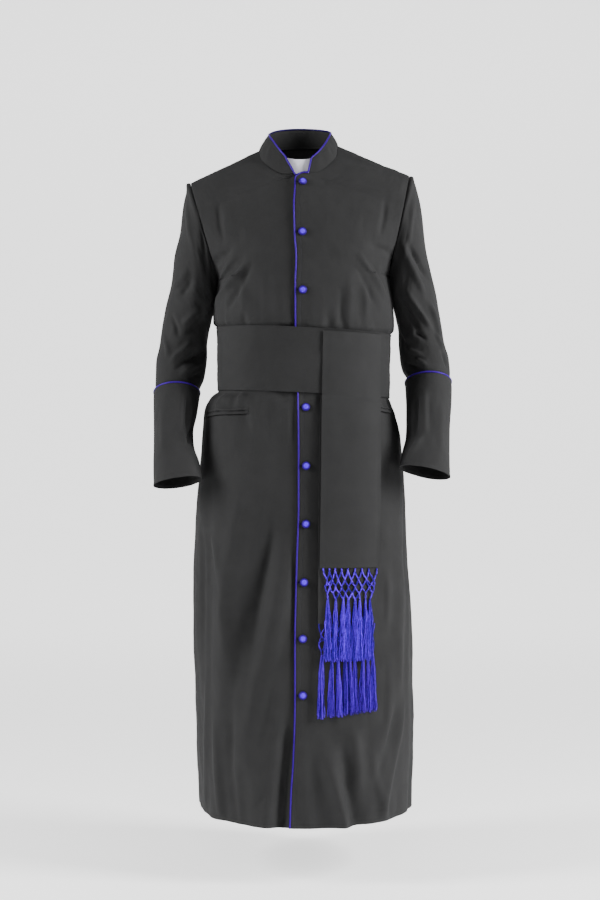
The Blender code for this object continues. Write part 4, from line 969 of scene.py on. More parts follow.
def cloth_material(name, dark, light, rough=0.82, sheen=0.25, rib=None, pitch=0.0011, fleck=0.5,
                   bump=0.35, worn=0.10):
    """Woven cloth: twill lines or ribs, fibre fleck, soft mottling, faint wear."""
    m, nt, shader = nodes_of(name)
    uv = nt.nodes.new("ShaderNodeUVMap")
    uv.uv_map = "Cloth"
    place = nt.nodes.new("ShaderNodeTexCoord").outputs["Object"]
    split = nt.nodes.new("ShaderNodeSeparateXYZ")
    link(nt, uv.outputs[0], split.inputs[0])
    u, v = split.outputs[0], split.outputs[1]
    if rib is None:
        slant = math_node(nt, "ADD", u, math_node(nt, "MULTIPLY", v, 0.62))
        lines = math_node(nt, "SINE", math_node(nt, "MULTIPLY", slant, 2 * math.pi / pitch))
        across_ = math_node(nt, "SINE", math_node(nt, "MULTIPLY", v, 2 * math.pi / (pitch * 0.8)))
        weave = math_node(nt, "MULTIPLY_ADD", across_, 0.35, lines)
    else:
        weave = math_node(nt, "SINE", math_node(nt, "MULTIPLY", v if rib == "across" else u,
                                                2 * math.pi / pitch))
    fine = add(nt, "ShaderNodeTexNoise", Scale=900.0, Detail=3.0, Roughness=0.65)
    link(nt, place, fine.inputs["Vector"])
    mottle = add(nt, "ShaderNodeTexNoise", Scale=26.0, Detail=4.0, Roughness=0.6)
    link(nt, place, mottle.inputs["Vector"])
    broad = add(nt, "ShaderNodeTexNoise", Scale=4.5, Detail=2.0, Roughness=0.5)
    link(nt, place, broad.inputs["Vector"])
    tone = math_node(nt, "MULTIPLY_ADD", fine.outputs[0], fleck, 0.5 - fleck / 2)
    tone = math_node(nt, "ADD", tone, math_node(nt, "MULTIPLY_ADD", mottle.outputs[0], 0.30, -0.15))
    tone = math_node(nt, "ADD", tone, math_node(nt, "MULTIPLY_ADD", broad.outputs[0], worn * 3, -worn * 1.5))
    tone = math_node(nt, "ADD", tone, math_node(nt, "MULTIPLY", weave, 0.07))
    colour = ramp(nt, tone, ((0.15, dark), (0.85, light)))
    link(nt, colour, shader.inputs["Base Color"])
    rough_out = math_node(nt, "MULTIPLY_ADD", mottle.outputs[0], 0.10, rough - 0.05)
    link(nt, rough_out, shader.inputs["Roughness"])
    shader.inputs["Sheen Weight"].default_value = sheen
    shader.inputs["Sheen Roughness"].default_value = 0.45
    shader.inputs["Sheen Tint"].default_value = (0.80, 0.80, 0.84, 1.0)
    shader.inputs["Specular IOR Level"].default_value = 0.06
    height = math_node(nt, "ADD", math_node(nt, "MULTIPLY", weave, 0.5),
                       math_node(nt, "MULTIPLY", fine.outputs[0], 1.2))
    b = add(nt, "ShaderNodeBump", Strength=bump, Distance=0.0002)
    link(nt, height, b.inputs["Height"])
    b2 = add(nt, "ShaderNodeBump", Strength=0.25, Distance=0.0010)
    link(nt, mottle.outputs[0], b2.inputs["Height"])
    link(nt, b.outputs[0], b2.inputs["Normal"])
    link(nt, b2.outputs[0], shader.inputs["Normal"])
    return m


def cord_material(name, dark, light, rough=0.38, sheen=0.3, twist=620.0, spread=0.0, painted_crown_highlight=0.0,
                  gloss=0.25):
    """Silk-like cord or covered piping: fine twisted threads with a soft gloss; set up for piping, a painted
    highlight along the cord's outer line and painted shade on its flanks and underside.
    """
    m, nt, shader = nodes_of(name)
    place = nt.nodes.new("ShaderNodeTexCoord").outputs["Object"]
    wave = add(nt, "ShaderNodeTexWave", Scale=twist, Distortion=1.2, Detail=2.0)
    wave.bands_direction = "DIAGONAL"
    link(nt, place, wave.inputs["Vector"])
    noise = add(nt, "ShaderNodeTexNoise", Scale=240.0, Detail=3.0, Roughness=0.6)
    link(nt, place, noise.inputs["Vector"])
    own = nt.nodes.new("ShaderNodeAttribute")
    own.attribute_name = "thread_tone"
    tone = math_node(nt, "ADD", math_node(nt, "MULTIPLY", wave.outputs["Fac"], 0.25),
                     math_node(nt, "MULTIPLY", noise.outputs[0], 0.60))
    tone = math_node(nt, "ADD", tone, math_node(nt, "MULTIPLY_ADD", own.outputs["Fac"], spread,
                                                -spread / 2))
    # painted highlight along the cord's outer line and painted shade under it, from the per-point weight
    if painted_crown_highlight:
        top = nt.nodes.new("ShaderNodeAttribute")
        top.attribute_name = "painted_crown_highlight"
        tone = math_node(nt, "ADD", math_node(nt, "MULTIPLY", tone, 0.5),
                         math_node(nt, "MULTIPLY_ADD", top.outputs["Fac"], painted_crown_highlight, 0.25 - painted_crown_highlight * 0.72))
    link(nt, ramp(nt, tone, ((0.25, dark), (0.80, light))), shader.inputs["Base Color"])
    shader.inputs["Roughness"].default_value = rough
    shader.inputs["Specular IOR Level"].default_value = gloss
    shader.inputs["Specular Tint"].default_value = (0.30, 0.18, 1.0, 1.0)
    shader.inputs["Sheen Weight"].default_value = sheen
    shader.inputs["Sheen Roughness"].default_value = 0.35
    shader.inputs["Sheen Tint"].default_value = (0.25, 0.12, 1.0, 1.0)
    b = add(nt, "ShaderNodeBump", Strength=0.5, Distance=0.0003)
    link(nt, tone, b.inputs["Height"])
    link(nt, b.outputs[0], shader.inputs["Normal"])
    return m


ROBE = cloth_material("robe_twill", (0.0130, 0.0130, 0.0132), (0.0310, 0.0310, 0.0313), sheen=0.02)
ROBE_IN = ROBE
BAND = cloth_material("band_faille", (0.0130, 0.0130, 0.0132), (0.0290, 0.0290, 0.0293), rough=0.74,
                      sheen=0.02, rib="across", pitch=0.0022, fleck=0.4, bump=0.45)
FALL = cloth_material("fall_faille", (0.0140, 0.0140, 0.0142), (0.0305, 0.0305, 0.0309), rough=0.72,
                      sheen=0.03, rib="across", pitch=0.0022, fleck=0.4, bump=0.45)
TAB = cloth_material("tab_linen", (0.60, 0.59, 0.66), (0.74, 0.73, 0.81), rough=0.55, sheen=0.1,
                     pitch=0.0008, fleck=0.25, bump=0.2, worn=0.04)
THREAD = cord_material("grey_thread", (0.024, 0.024, 0.025), (0.060, 0.060, 0.062), 0.6, 0.0, gloss=0.1)
DARK_THREAD = cord_material("dark_thread", (0.004, 0.002, 0.016), (0.012, 0.006, 0.040), 0.6, 0.0,
                            gloss=0.1)
# piping: a highlight is painted along the cord's outer line and shade on its flanks
PIPING = cord_material("piping_satin", (0.004, 0.000, 0.034), (0.056, 0.003, 0.320), 0.40, 0.04,
                       painted_crown_highlight=0.55, gloss=0.30)
SHADE = cloth_material("pocket_shade", (0.0030, 0.0030, 0.0030), (0.0080, 0.0080, 0.0080), sheen=0.0)
FRINGE = cord_material("fringe_silk", (0.018, 0.000, 0.200), (0.130, 0.002, 1.000), 0.46, 0.06, spread=0.9)
# the under fringe's silk is the top fringe's, painted darker as shade for where it hangs behind the top fall
FRINGE_SHADED = cord_material("fringe_silk_shaded", (0.012, 0.000, 0.120), (0.105, 0.003, 0.760), 0.46,
                            0.05, spread=0.9)


def button_material():
    m, nt, shader = nodes_of("button_satin")
    place = nt.nodes.new("ShaderNodeTexCoord").outputs["Object"]
    split = nt.nodes.new("ShaderNodeSeparateXYZ")
    link(nt, place, split.inputs[0])
    r = math_node(nt, "SQRT", math_node(nt, "ADD", math_node(nt, "POWER", split.outputs[0], 2.0),
                                        math_node(nt, "POWER", split.outputs[1], 2.0)))
    noise = add(nt, "ShaderNodeTexNoise", Scale=500.0, Detail=3.0, Roughness=0.6)
    link(nt, place, noise.inputs["Vector"])
    # colour runs from the bright blue face to a near-black rim: partly the darker cloth tucked under the rim, partly
    # painted shade round the rim
    tone = math_node(nt, "ADD", math_node(nt, "DIVIDE", r, 0.0095),
                     math_node(nt, "MULTIPLY_ADD", noise.outputs[0], 0.12, -0.06))
    link(nt, ramp(nt, tone, ((0.0, (0.105, 0.002, 1.00)), (0.46, (0.080, 0.001, 0.84)),
                             (0.66, (0.024, 0.000, 0.17)), (1.0, (0.006, 0.000, 0.045)))),
         shader.inputs["Base Color"])
    shader.inputs["Specular IOR Level"].default_value = 0.22
    shader.inputs["Specular Tint"].default_value = (0.40, 0.30, 1.0, 1.0)
    shader.inputs["Roughness"].default_value = 0.48
    shader.inputs["Sheen Weight"].default_value = 0.0
    shader.inputs["Sheen Tint"].default_value = (0.30, 0.20, 1.0, 1.0)
    warp = add(nt, "ShaderNodeTexWave", Scale=900.0, Distortion=0.4)
    link(nt, place, warp.inputs["Vector"])
    b = add(nt, "ShaderNodeBump", Strength=0.35, Distance=0.0002)
    link(nt, math_node(nt, "ADD", warp.outputs["Fac"], noise.outputs[0]), b.inputs["Height"])
    link(nt, b.outputs[0], shader.inputs["Normal"])
    return m


BUTTON = button_material()


# ------------------------------------------------------------------ body panels
FRONT_COLS, BACK_COLS = 92, 76
CLOSE = 0.000004         # half the gap left between cloths along a seam
YOKE_FINE, SKIRT_FINE = 86, 200


def fine_rows(face):
    start = PIT_ROW if face < 0 else NAPE_ROW
    high = int(YOKE_FINE * 0.45)
    rows = np.concatenate([np.linspace(1, start, high), np.linspace(start, 0, YOKE_FINE - high + 1)[1:]])
    w = np.linspace(0, 1, SKIRT_FINE + 1)
    stops = ((0, 0.285), (0.10, 0.374), (0.20, 0.412), (0.24, 0.530), (0.34, 0.590), (1, HEM))
    drops = np.interp(w, [s[0] for s in stops], [s[1] for s in stops])[1:]
    return rows, drops


def edge_part(side, rows, drops, reach):
    """Signed part, on the other side of the centre, of a column that lies at x = reach."""
    out = []
    for r in rows:
        if r > PIT_ROW + 1e-9:
            out.append(0.0)
            continue
        b = float(armhole(-side, -1, np.array([r]))[0, 0])
        most = math.radians(float(smooth(r, column(ARCH, ARCH_NAMES, "row"),
                                         column(ARCH, ARCH_NAMES, "degrees"))))
        drop = -float(centre_line(-side, -1, np.array([r]))[0, 2])
        want = reach(drop)
        share = (abs(want) / abs(b)) ** (ROUND / 2) * math.sin(most)
        out.append(-math.asin(share) / most)
    for d in drops:
        want = reach(d)
        w = float(half(-side, d))
        out.append(-math.asin((abs(want) / w) ** (ROUND / 2)) / (math.pi / 2))
    return np.array(out)


def seam_dip(part, wide, low=0.012, depth=0.0009):
    """The slight sink along a seam, by part of the quarter."""
    return -depth * np.exp(-(((1 - part) * wide / 0.0035) ** 2))


def make_front(side):
    rows, drops = fine_rows(-1)
    if side > 0:
        edge = edge_part(side, rows, drops, lambda d: float(edge_x(d)))
    else:
        edge = edge_part(side, rows, drops, lambda d: UNDERLAP_X)
    c = np.linspace(0, 1, FRONT_COLS)
    spread = 0.35 * c + 0.65 * c**1.7 if side > 0 else c
    part = edge[:, None] + (1 - edge[:, None]) * spread[None, :]
    grid, around = body_grid(side, -1, rows, drops, part)
    yokes = len(rows)
    n = fine_seams(front_normals(side, rows, drops, part, grid), side, -1, yokes,
                   int(YOKE_FINE * 0.45))
    form_n = n
    total = surface(around, grid)
    total = clear_of_falls(grid, total)
    # seams: armhole and side, shoulder, and the neckline
    total += seam_dip(part, 0.28) + underarm(grid, part)
    down = np.linalg.norm(np.diff(grid, axis=0), axis=-1)
    run = np.concatenate([np.zeros((1, grid.shape[1])), np.cumsum(down, axis=0)])
    total += -0.0008 * np.exp(-((run / 0.0035) ** 2))
    arm = (np.arange(len(grid)) < yokes)[:, None]
    # light puckers beside the armhole seam
    total += arm * 0.0006 * np.exp(-(((1 - part) * 0.28 / 0.010) ** 2)) * np.sin(run / 0.0105 * 2 * math.pi)
    if side > 0:
        x_edge = edge_x(-grid[..., 2])
        from_edge = grid[..., 0] - x_edge
        below_pit = (-grid[..., 2] > 0.066)
        total += below_pit * -0.0006 * np.exp(-(((from_edge - 0.0095) / 0.0016) ** 2))
        total += below_pit * 0.0004 * np.exp(-(((from_edge - 0.0045) / 0.0035) ** 2))
        # dimples round the buttons
        for _, drop in BUTTONS:
            x_b = float(edge_x(drop)) + BUTTON_INSET
            far = np.hypot(grid[..., 0] - x_b, -grid[..., 2] - drop)
            total += (grid[..., 1] < 0) * -0.0010 * np.exp(-((far / 0.013) ** 2))
    outer = grid + n * total[..., None]
    if side < 0:
        outer = outer - n * (LAP_DIP * ease((grid[..., 0] + 0.075) / 0.055))[..., None]
        press = np.minimum(total, 0.0006) - total
        near_lap = ease((grid[..., 0] + 0.022) / 0.008)
        outer = outer + n * (press * near_lap)[..., None]
    outer[yokes - 1:, -1, 1] -= CLOSE
    outer[0, :, 1] -= CLOSE
    n2 = outward(normals(outer), outer)
    n2 = fine_seams(n2, side, -1, yokes, int(YOKE_FINE * 0.45))
    sheared = np.zeros(part.shape, bool)
    sheared[int(YOKE_FINE * 0.45) - 3:int(YOKE_FINE * 0.45) + 3] = True
    n2 = np.where((sheared & (part < 0.6))[..., None], form_n, n2)
    inner = outer - n2 * (WALL * 0.85)
    name = "front_left_cloth" if side > 0 else "front_right_cloth"
    obj = shell(name, outer, inner, ROBE)
    return obj, outer, n2, part, rows, drops


def front_normals(side, rows, drops, part, grid):
    """Normals of a front from small steps along and across its form, not along its columns."""
    e = 0.0008
    ahead, _ = body_grid(side, -1, rows, drops, part + e)
    behind, _ = body_grid(side, -1, rows, drops, part - e)
    across_ = np.where((part > 0.5)[..., None], grid - behind, ahead - grid)
    upper, _ = body_grid(side, -1, np.minimum(rows + e, 1), drops - e, part)
    lower, _ = body_grid(side, -1, np.maximum(rows - e, 0), drops + e, part)
    n = np.cross(across_, lower - upper)
    n /= np.maximum(np.linalg.norm(n, axis=-1, keepdims=True), 1e-12)
    return outward(n, grid)


def fine_seams(n, side, face, yokes, high):
    n = n.copy()
    n[high:, 0, 0] = 0.0 if face > 0 else n[high:, 0, 0]
    n[yokes - 1:, -1, 1] = 0.0
    n[0, :, 1] = 0.0
    return n / np.maximum(np.linalg.norm(n, axis=-1, keepdims=True), 1e-9)


def make_back(side):
    rows, drops = fine_rows(1)
    c = np.linspace(0, 1, BACK_COLS)
    part = np.repeat(c[None, :], len(rows) + len(drops), axis=0)
    grid, around = body_grid(side, 1, rows, drops, part)
    n = outward(normals(grid), grid)
    yokes, high = len(rows), int(YOKE_FINE * 0.45)
    n = fine_seams(n, side, 1, yokes, high)
    total = surface(around, grid)
    total += seam_dip(part, 0.28) + underarm(grid, part)
    total += -0.0010 * np.exp(-((part * 0.28 / 0.0035) ** 2)) * (np.arange(len(grid)) >= high)[:, None]
    down = np.linalg.norm(np.diff(grid, axis=0), axis=-1)
    run = np.concatenate([np.zeros((1, grid.shape[1])), np.cumsum(down, axis=0)])
    total += -0.0008 * np.exp(-((run / 0.0035) ** 2))
    arm = (np.arange(len(grid)) < yokes)[:, None]
    total += arm * 0.0006 * np.exp(-(((1 - part) * 0.28 / 0.010) ** 2)) * np.sin(run / 0.0115 * 2 * math.pi)
    outer = grid + n * total[..., None]
    outer[high:, 0, 0] = 0.0
    outer[yokes - 1:, -1, 1] += CLOSE
    outer[0, :, 1] += CLOSE
    n2 = outward(normals(outer), outer)
    n2 = fine_seams(n2, side, 1, yokes, high)
    inner = outer - n2 * (WALL * 0.85)
    return shell("back_left_cloth" if side > 0 else "back_right_cloth", outer, inner, ROBE), outer, n2


# ------------------------------------------------------------------ sleeves and cuffs
def tube_surface(side, table, along, turn):
    return tube(table, SLEEVE_NAMES, side, along, turn)


def slip(turn):
    """How far the worn cuff's upper edge has slid down the sleeve, most on the outside."""
    return 0.0060 + 0.0042 * np.cos(turn)


def tube_lookup(side, table, top):
    """A coarse map from the frame to (turn, along) on the front half of a sleeve or cuff."""
    along, turn = np.linspace(0, top, 160)[:, None], np.linspace(0, math.pi, 120)[None, :]
    p = tube_surface(side, table, along, turn)
    a, t = np.broadcast_arrays(along, turn)
    return seen(p).reshape(-1, 2), np.stack([t, a], axis=-1).reshape(-1, 2)


def tube_grid_normals(grid):
    n = normals(grid, wrap=True)
    middle = grid.mean(axis=1, keepdims=True)
    return n if ((grid - middle) * n).sum() > 0 else -n


def make_sleeve(side):
    table = SLEEVE_LEFT if side > 0 else SLEEVE_RIGHT
    top = table[-1][0]
    count, sides = 170, 104
    w = np.linspace(0, 1, count)
    along = (0.75 * w + 0.25 * w**2) * top
    turn = np.linspace(0, 2 * math.pi, sides, endpoint=False)
    grid = tube_surface(side, table, along[:, None], turn[None, :])
    grid[..., 2] -= ease((along - 0.87) / 0.13)[:, None] * slip(turn)[None, :]
    grid[..., 0] += (side * 0.0009 * ease(1 - along / 0.03)[:, None]
                     * (0.1 + 0.9 * ease(np.cos(turn) + 0.75))[None, :])
    n = tube_grid_normals(grid)
    radius, length = 0.056, 0.44
    u, v = turn[None, :] * radius + 0 * along[:, None], along[:, None] * length + 0 * turn[None, :]
    total = np.zeros(u.shape)
    at, cloth = tube_lookup(side, table, top)
    period = 2 * math.pi * radius
    for u0, v0, u1, v1, u2, v2, left, right, height, is_open in (
            SLEEVE_CREASES_LEFT if side > 0 else SLEEVE_CREASES_RIGHT):
        controls = [lookup(at, cloth, *q) * np.array([radius, length])
                    for q in ((u0, v0), (u1, v1), (u2, v2))]
        total += crease(u, v, controls, left, right, height * 1.8, is_open, period)
    for own, a0, t0, a1, t1, a2, t2, left, right, height, is_open in HIDDEN_SLEEVE_CREASES:
        if own == side:
            controls = [(t * radius, a * length) for a, t in ((a0, t0), (a1, t1), (a2, t2))]
            total += crease(u, v, controls, left, right, height * 1.6, is_open, period)
    wave = lambda su, sv, seed: field(np.cos(turn)[None, :] * radius * 1.6 + 0 * v,
                                      v + np.sin(turn)[None, :] * radius * 1.6, su, sv, seed)
    total += 0.0014 * wave(0.050, 0.070, 21 + side)
    total += 0.0007 * wave(0.022, 0.032, 31 + side)
    total += 0.00022 * wave(0.009, 0.012, 41 + side)
    # a little fullness eased into the sleeve head, then the seam's sink
    head = np.clip(np.cos(turn), 0, 1)[None, :] ** 0.7
    run = v
    total += 0.0022 * head * np.exp(-(((run - 0.010) / 0.009) ** 2))
    total += -0.0008 * np.exp(-((run / 0.0032) ** 2))
    total += head * 0.0006 * np.exp(-((run / 0.014) ** 2)) * np.sin(turn * 34)[None, :]
    # the elbow seam down the back of the sleeve
    total += -0.0007 * np.exp(-(((turn - 4.05)[None, :] * radius / 0.0026) ** 2))
    # keep off the body near the underarm, and inside the cuff
    under = np.exp(-(((turn - math.pi) / 0.9) ** 2))[None, :] * (1 - ease(along / 0.30))[:, None]
    total = np.where(total > 0, total * (1 - under), total)
    into = ease((along - 0.955) / 0.03)[:, None]
    total = total * (1 - into)
    outer = grid + n * total[..., None]
    n2 = tube_grid_normals(outer)
    name = "sleeve_left_cloth" if side > 0 else "sleeve_right_cloth"
    uv = np.stack([u, v], axis=-1)
    return shell(name, outer, outer - n2 * (WALL * 0.85), ROBE, wrap=True, uv=uv), outer, n2


def make_cuff(side):
    table = CUFF_LEFT if side > 0 else CUFF_RIGHT
    count, sides = 84, 104
    along = np.linspace(0, 1, count)
    turn = np.linspace(0, 2 * math.pi, sides, endpoint=False)
    grid = tube_surface(side, table, along[:, None], turn[None, :])
    grid[..., 2] -= (1 - ease(along / 0.40))[:, None] * slip(turn)[None, :]
    n = tube_grid_normals(grid)
    radius, length = 0.050, 0.205
    u, v = turn[None, :] * radius + 0 * along[:, None], along[:, None] * length + 0 * turn[None, :]
    total = np.zeros(u.shape)
    at, cloth = tube_lookup(side, table, 1.0)
    period = 2 * math.pi * radius
    for u0, v0, u1, v1, u2, v2, left, right, height, is_open in (
            CUFF_CREASES_LEFT if side > 0 else CUFF_CREASES_RIGHT):
        controls = [lookup(at, cloth, *q) * np.array([radius, length])
                    for q in ((u0, v0), (u1, v1), (u2, v2))]
        total += crease(u, v, controls, left, right, height * 1.7, is_open, period)
    wave = lambda su, sv, seed: field(np.cos(turn)[None, :] * radius * 1.6 + 0 * v,
                                      v + np.sin(turn)[None, :] * radius * 1.6, su, sv, seed)
    total += 0.0010 * wave(0.045, 0.090, 51 + side)
    total += 0.0004 * wave(0.020, 0.030, 61 + side)
    total += 0.00018 * wave(0.009, 0.012, 71 + side)
    # rolled top and bottom edges, with a line of stitching 6 mm in
    total += 0.0005 * np.exp(-((v / 0.003) ** 2)) + 0.0006 * np.exp(-(((length - v) / 0.003) ** 2))
    total += -0.0005 * np.exp(-(((v - 0.0065) / 0.0012) ** 2))
    total += -0.0005 * np.exp(-(((length - v - 0.0070) / 0.0014) ** 2))
    total += -0.0007 * np.exp(-(((turn - 4.4)[None, :] * radius / 0.0024) ** 2))
    ends = ease(v / 0.012)
    total = total * ends + (1 - ends) * np.minimum(total, 0.0004)
    outer = grid + n * total[..., None]
    n2 = tube_grid_normals(outer)
    name = "cuff_left_cloth" if side > 0 else "cuff_right_cloth"
    uv = np.stack([u, v], axis=-1)
    return shell(name, outer, outer - n2 * (WALL * 0.9), ROBE, wrap=True, uv=uv), outer, n2


def make_cuff_piping(side, outer):
    table = CUFF_LEFT if side > 0 else CUFF_RIGHT
    turn = np.linspace(0, 2 * math.pi, 150, endpoint=False)
    ring = tube(table, CUFF_NAMES, side, np.zeros((1, 1)), turn[None, :])[0]
    ring = ring + (ring.mean(axis=0) - ring) * 0.012
    ring[:, 2] += PIPE_R * 0.9 - slip(turn)
    name = "piping_cuff_left_cord" if side > 0 else "piping_cuff_right_cord"
    return piping_cord(name, ring, closed=True, flip=side)


# ------------------------------------------------------------------ collar, tab and its piping
def neck_curve():
    pts = []
    for table, side, turned in ((NECK_RIGHT, -1, False), (NAPE_RIGHT, -1, True),
                                (NAPE_LEFT, 1, False), (NECK_LEFT, 1, True)):
        line = through(table, np.linspace(0, 1, 60)) * np.array([side, 1, -1])
        pts.append(line[::-1] if turned else line)
    line = np.vstack([pts[0], pts[1][1:], pts[2][1:], pts[3][1:]])
    start = int(np.argmax(line[:, 0] < float(edge_x(0.0645)) - 0.0030))
    stop = len(line) - int(np.argmax(line[::-1, 0] > CORNER_X))
    return line[start:stop]


def make_collar():
    base = resample(neck_curve(), 0.0028)
    run = np.concatenate([[0], np.cumsum(np.linalg.norm(np.diff(base, axis=0), axis=1))])
    top = through([(x, d, -z) for x, d, z in COLLAR_TOP], run / run[-1])
    up = top - base
    base = base + up / np.linalg.norm(up, axis=1, keepdims=True) * 0.0006
    v = np.linspace(0, 1, 24)[:, None, None]
    grid = top[None] * (1 - v) + base[None] * v
    n = outward(normals(grid), grid)
    length = run[None, :] + 0 * v[..., 0]
    height = v[..., 0] * 0.037 + 0 * length
    total = 0.0010 * np.sin(math.pi * v[..., 0]) + 0 * length
    total += 0.0006 * field(length, height, 0.040, 0.025, 81)
    total += 0.0003 * field(length, height, 0.014, 0.014, 82)
    total += -0.0005 * np.exp(-(((height - 0.0050) / 0.0011) ** 2))
    total += -0.0006 * np.exp(-(((0.037 - height) / 0.0030) ** 2))
    # folds where the stand bends at the sides of the neck
    total += 0.0014 * np.exp(-(((length - 0.075) / 0.007) ** 2)) * np.sin(math.pi * v[..., 0])
    total += -0.0012 * np.exp(-(((length - run[-1] + 0.080) / 0.008) ** 2)) * np.sin(math.pi * v[..., 0])
    outer = grid + n * total[..., None]
    n2 = outward(normals(outer), outer)
    # the stand is let in under the neckline seam
    level = n2[-1] * np.array([1, 1, 0])
    tuck = [outer[-1] - level * a - np.array([0, 0, b]) for a, b in ((0.0016, 0.0006), (0.0024, 0.0045))]
    wide = np.concatenate([outer, np.array(tuck)])
    wide_n = np.concatenate([n2, n2[-1:], n2[-1:]])
    obj = shell("collar_cloth", wide, wide - wide_n * WALL, ROBE)
    return obj, outer, n2


def make_collar_piping(outer, n):
    away = PIPE_R * 0.92
    cols = outer.shape[1]
    middle = cols // 2
    rise = outer[0] - outer[2]
    run = np.gradient(outer[0], axis=0)
    run /= np.linalg.norm(run, axis=1, keepdims=True)
    rise = rise - run * (rise * run).sum(axis=1, keepdims=True)
    rise /= np.linalg.norm(rise, axis=1, keepdims=True)
    crest_all = outer[0] - n[0] * WALL / 2 + rise * away
    out = []
    for word, order in (("right", 1), ("left", -1)):
        end = outer[::-1, 0 if order > 0 else -1]
        end_n = n[::-1, 0 if order > 0 else -1]
        side_way = end - outer[::-1, 2 if order > 0 else -3]
        side_way = side_way - end_n * (side_way * end_n).sum(axis=1, keepdims=True)
        side_way /= np.linalg.norm(side_way, axis=1, keepdims=True)
        upright = end - end_n * WALL / 2 + side_way * away
        crest = crest_all[:middle + 1] if order > 0 else crest_all[:middle - 1:-1]
        path = np.vstack([upright[1:-1], crest[1:]])
        if order > 0:
            down = path[0] - path[3]
            down /= np.linalg.norm(down)
            path = np.vstack([path[0] + down * 0.0052 + np.array([0.0010, -0.0006, 0]),
                              path[0] + down * 0.0026, path])
        # round the corner
        path = resample(path, 0.0012)
        for _ in range(10):
            path[1:-1] = path[1:-1] * 0.5 + (path[:-2] + path[2:]) * 0.25
        path[-1, 0] = -order * 0.00006
        out.append(piping_cord("piping_collar_%s_cord" % word, path))
    return out


def make_tab():
    x = np.linspace(-0.0345, 0.0335, 60)
    rows = 30
    v = np.linspace(0, 1, rows)[:, None]
    lift = 0.0040 * (x / 0.034) ** 2
    top_drop, low_drop = 0.0335 - lift * 1.6, 0.0700 + 0 * x
    drop = top_drop * (1 - v) + low_drop * v
    y = -0.0815 + (0.0720 - drop) * 0.235 + 5.4 * x**2
    tab = np.stack([np.repeat(x[None], rows, axis=0), y, -drop], axis=-1)
    n = outward(normals(tab), tab)
    tab = tab + n * (0.0003 * field(tab[..., 0], tab[..., 2], 0.02, 0.02, 91)
                     - 0.0003 * np.exp(-(((drop - top_drop - 0.003) / 0.0007) ** 2)))[..., None]
    return shell("collar_tab_cloth", tab, tab - n * 0.0010, TAB)


# ------------------------------------------------------------------ front piping
def make_front_piping(outer, n, rows):
    high = int(YOKE_FINE * 0.45)
    away = PIPE_R * 0.95
    start = int(np.argmax(rows <= PIT_ROW + 1e-9))
    edge = outer[start:, 0]
    edge_n = n[start:, 0]
    line = edge - edge_n * 0.0008 + np.array([-away, 0, 0])
    top = [outer[i, 0] for i in range(start) if outer[i, 0, 0] < CORNER_X - 0.0004]
    up = np.array(top) + np.array([0, 0.0007, away])
    path = np.vstack([up, line[1:]])
    path = resample(path, 0.0022)
    for _ in range(6):
        path[1:-1] = path[1:-1] * 0.5 + (path[:-2] + path[2:]) * 0.25
    return piping_cord("piping_front_cord", path)


# ------------------------------------------------------------------ band and falls
def make_band():
    parts = np.linspace(0, 1, 84)
    rows = 34
    drops = np.linspace(BAND_TOP, BAND_LOW, rows)[:, None]
    around = []
    for side, face, turned in ((1, -1, False), (1, 1, True), (-1, 1, False), (-1, -1, True)):
        g = skirt(side, face, drops, parts[None, :] * math.pi / 2)
        g = g[:, ::-1] if turned else g
        around.append(g[:, :-1])
    grid = np.concatenate(around, axis=1)
    n = outward(normals(grid, wrap=True), grid)
    theta = np.arctan2(grid[..., 0], -grid[..., 1])
    u = theta * 0.16
    v = drops - BAND_TOP + 0 * u
    ring = lambda su, sv, seed: field(np.cos(theta) * 0.16, v + np.sin(theta) * 0.16, su, sv, seed)
    total = 0.0006 * ring(0.05, 0.035, 101) + 0.0003 * ring(0.016, 0.020, 102)
    total += 0.0003 * field(np.cos(theta) * 0.16, v * 3 + np.sin(theta) * 0.16, 0.03, 0.010, 103)
    # a sunk line of stitching along each long edge
    total += -0.0004 * np.exp(-(((v - 0.005) / 0.0012) ** 2))
    total += -0.0004 * np.exp(-(((0.139 - v - 0.005) / 0.0012) ** 2))
    # shallow pulls where the ends are hooked together under the falls and at the sides
    for centre, lean, height in ((-0.62, 0.10, -0.0007), (0.95, -0.08, -0.0008), (1.9, 0.05, 0.0008),
                                 (-1.7, 0.04, 0.0008), (2.8, -0.05, -0.0007), (-2.5, 0.06, 0.0007)):
        off = (theta - centre - lean * (v / 0.139) + math.pi) % (2 * math.pi) - math.pi
        total += height * np.exp(-((off * 0.16 / 0.010) ** 2))
    outer = grid + n * (BAND_OUT + total)[..., None]
    inner = grid + n * (BAND_OUT - WALL * 0.9)
    return shell("cincture_band_cloth", outer, inner, BAND, wrap=True,
                 uv=np.stack([u, v], axis=-1)), outer


def strip_grid(table, rows, cols, u_dense=None):
    drops = np.linspace(table[0][0], table[-1][0], rows)
    x_left, x_right, out = (smooth(drops, column(table, FALL_NAMES, "drop"),
                                   column(table, FALL_NAMES, k))[:, None]
                            for k in FALL_NAMES[1:])
    w = half(1, drops)[:, None]
    a, b = (np.arcsin(np.clip(np.abs(x) / w, 0, 0.9999) ** (ROUND / 2)) for x in (x_left, x_right))
    share = np.linspace(0, 1, cols)[None, :]
    x = w * np.sin(a + (b - a) * share) ** (2 / ROUND)
    base, n = front_at(x, np.repeat(drops[:, None], cols, axis=1), 0.0)
    return base, n, out, share, drops


